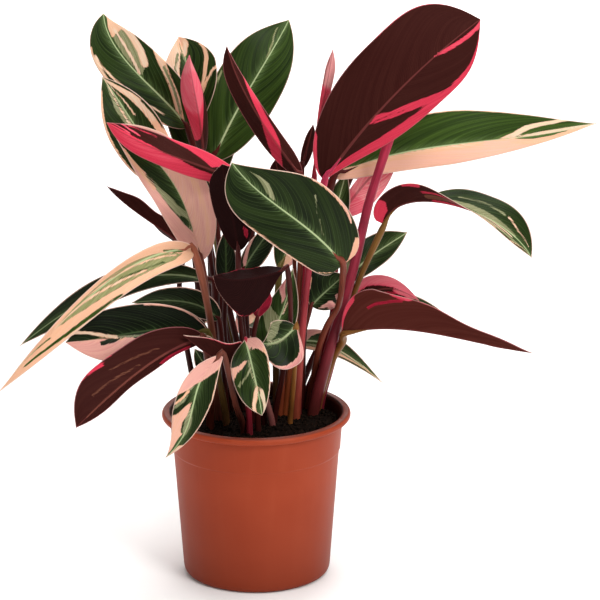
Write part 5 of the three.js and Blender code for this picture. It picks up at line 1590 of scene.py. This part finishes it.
drills = []
for i in range(DRAIN_HOLES):
    around = 2 * math.pi * (i + 0.5) / DRAIN_HOLES
    place = (DRAIN_CIRCLE * MM * math.cos(around), DRAIN_CIRCLE * MM * math.sin(around), 0)
    # Half a side of turn keeps a drill's corners off the floor's edges, which would leave slivers.
    bpy.ops.mesh.primitive_cylinder_add(
        vertices=DRILL_SIDES, radius=DRAIN_RADIUS * MM, depth=DRILL_LENGTH * MM,
        location=place, rotation=(0, 0, math.pi / DRILL_SIDES),
    )
    drills.append(bpy.context.object)
    cut = pot.modifiers.new(f"drain {i}", "BOOLEAN")
    cut.operation = "DIFFERENCE"
    cut.object = drills[-1]
bpy.context.view_layer.update()
drilled = bpy.data.meshes.new_from_object(pot.evaluated_get(bpy.context.evaluated_depsgraph_get()))
pot.modifiers.clear()
pot.data = drilled
for drill in drills:
    bpy.data.objects.remove(drill)
print("The pot has", len(pot.data.polygons), "faces")

# %% [markdown]
# ## The peat
# Potting peat is a moist, almost black crumb of rotted moss with fibres in it. A bumpy material on a
# flat disc would look like asphalt from the side, so the surface is really lumpy, and loose crumbs lie
# on it as small bodies of their own.

# %% Moist peat
peat_finish, tree = new_material("moist crumbly peat")
where = add(tree, "TexCoord", {}, "Object")
crumble = add(tree, "TexNoise", {"Vector": where, "Scale": 420.0, "Detail": 6.0,
                                 "Roughness": 0.7}, "Fac")
patches = add(tree, "TexNoise", {"Vector": where, "Scale": 70.0, "Detail": 3.0}, "Fac")
colour = add(tree, "ValToRGB", {"Fac": crumble},
             stops=[(0.3, "#050302"), (0.5, "#120b07"), (0.62, "#24170f"), (0.74, "#402c1d")])
dark_patches = add(tree, "MapRange", {"Value": patches, "From Min": 0.45, "From Max": 0.7})
colour = layered(tree, colour, (dark_patches, 1.0, "#140c08"))
bump = add(tree, "Bump", {"Strength": 0.9, "Distance": 0.0012, "Height": crumble})
finish_material(peat_finish, {"Base Color": colour, "Roughness": 1.0, "Normal": bump,
                              "Specular IOR Level": 0.05})

# %% The lumpy surface
SOIL_GAP = 0.4  # millimetres between the peat and the pot
LUMP_HEIGHT = 1.6
CLOD_HEIGHT = 0.75
CRUMB_HEIGHT = 0.35
PEAT_SIDES = 200
PEAT_RINGS = 60


def lump_at(x, y):
    """How far the surface stands above or below its level: lumps, clods on them, crumbs on those."""
    lump = np.sin(x * 0.13 + 1) * np.cos(y * 0.17) + 0.5 * np.sin(x * 0.31 - y * 0.23)
    clod = np.sin(x * 0.9 + 2 * np.sin(y * 0.41)) * np.sin(y * 1.1 + 1.7 * np.sin(x * 0.53))
    crumb = np.sin(x * 2.9 + 3 * np.sin(y * 1.3)) * np.sin(y * 3.1 + 2 * np.sin(x * 1.7))
    return LUMP_HEIGHT * lump + CLOD_HEIGHT * clod + CRUMB_HEIGHT * crumb


peat_edge = SOIL_LEVEL - 2
peat_radius = inner_radius_at(peat_edge) - SOIL_GAP
peat_side = rounded([
    (0, POT_FLOOR + SOIL_GAP, 0),
    (inner_radius_at(POT_FLOOR) - SOIL_GAP, POT_FLOOR + SOIL_GAP, 1),
    (inner_radius_at(COLLAR_BOTTOM) - SOIL_GAP, COLLAR_BOTTOM, 1),
    (peat_radius, peat_edge, 1),
    (peat_radius - 0.5, SOIL_LEVEL - 0.5, 0),
])
peat_top = [(radius, SOIL_LEVEL) for radius in np.linspace(peat_radius - 1.5, 0, PEAT_RINGS)]
peat_points, peat_faces = turned(np.concatenate([peat_side, peat_top]), PEAT_SIDES)
on_top = peat_points[:, 2] > peat_edge + 1
peat_points[on_top, 2] += lump_at(peat_points[on_top, 0], peat_points[on_top, 1])
lowest, highest = (ends(peat_points[on_top, 2]).round(1) for ends in (np.min, np.max))
print("The peat's surface lies between", lowest, "and", highest, "mm up")

# %% The loose crumbs
CRUMBS = 1100
CRUMB_SIZES = (0.6, 1.9)  # radii in millimetres
CRUMB_STRETCH = (0.55, 1.25)  # in each direction
CRUMB_ROUGHNESS = 0.22
CRUMB_LIFT = 0.3  # how far a crumb's middle is above the surface, as a share of its size
CLEAR_EDGE = 4  # millimetres along the pot's wall that stay without crumbs
random = np.random.default_rng(7)

bpy.ops.mesh.primitive_ico_sphere_add(subdivisions=2, radius=1)
ball = bpy.context.object
ball_points = np.array([vertex.co[:] for vertex in ball.data.vertices])
ball_faces = np.array([polygon.vertices[:] for polygon in ball.data.polygons])
bpy.data.objects.remove(ball)

all_points = [peat_points]
all_faces = list(peat_faces)
count = len(peat_points)
for _ in range(CRUMBS):
    radius = (peat_radius - CLEAR_EDGE) * math.sqrt(random.random())
    around = random.uniform(0, 2 * math.pi)
    size = random.uniform(*CRUMB_SIZES)
    stretch = size * random.uniform(*CRUMB_STRETCH, 3)
    ripples = np.sin(ball_points @ random.uniform(-5, 5, (3, 1)) + random.uniform(0, 6))
    x, y = radius * math.cos(around), radius * math.sin(around)
    centre = np.array([x, y, SOIL_LEVEL + lump_at(x, y) + CRUMB_LIFT * size])
    all_points.append(ball_points * (1 + CRUMB_ROUGHNESS * ripples) * stretch + centre)
    all_faces += (ball_faces + count).tolist()
    count += len(ball_points)
peat = new_piece("crumbly_peat", np.concatenate(all_points), all_faces, [peat_finish], "peat")
print("The peat has", len(peat.data.polygons), "faces")

# %% [markdown]
# ## Floor and light
# Soft studio light comes from large panels: they wrap round the leaves, leave wide highlights on the
# waxed skins, and only a faint shadow on the floor. A pale floor runs to beyond the edge of the view.

# %% Floor
FLOOR_SIZE = 24  # metres, most of them behind the plant
paper, _ = new_material("white background paper")
finish_material(paper, {"Base Color": "#f7f5f3", "Roughness": 0.9, "Specular IOR Level": 0.1})
bpy.ops.mesh.primitive_plane_add(size=FLOOR_SIZE, location=(0, FLOOR_SIZE / 4, 0))
floor = bpy.context.object
floor.name = "floor"
floor.data.materials.append(paper)

# %% Light
world = bpy.data.worlds.new("studio")
world.use_nodes = True
background = world.node_tree.nodes["Background"]
background.inputs["Color"].default_value = (1, 1, 1, 1)
background.inputs["Strength"].default_value = 0.3
bpy.context.scene.world = world


def panel(name, place, size, watts, target=MIDDLE):
    """A square light panel that faces the middle of the plant, or another target."""
    light = bpy.data.lights.new(name, "AREA")
    light.size = size
    light.energy = watts
    holder = bpy.data.objects.new(name, light)
    holder.location = place
    x, y, z = np.array(target) - np.array(place)
    off_vertical = math.atan2(math.hypot(x, y), -z)
    holder.rotation_euler = (off_vertical, 0, math.atan2(y, x) - math.pi / 2)
    bpy.context.collection.objects.link(holder)
    print(name, "tilts", round(math.degrees(off_vertical)), "degrees off straight down")


panel("key panel", (1.3, -1.7, 1.7), 1.0, 40)
panel("fill panel", (-1.9, -1.4, 1.0), 1.5, 6)
panel("top panel", (0.2, 0.0, 2.2), 1.3, 36)
panel("background panel", (0, 4.2, 2.6), 4, 260, target=(0, 4.2, 0))
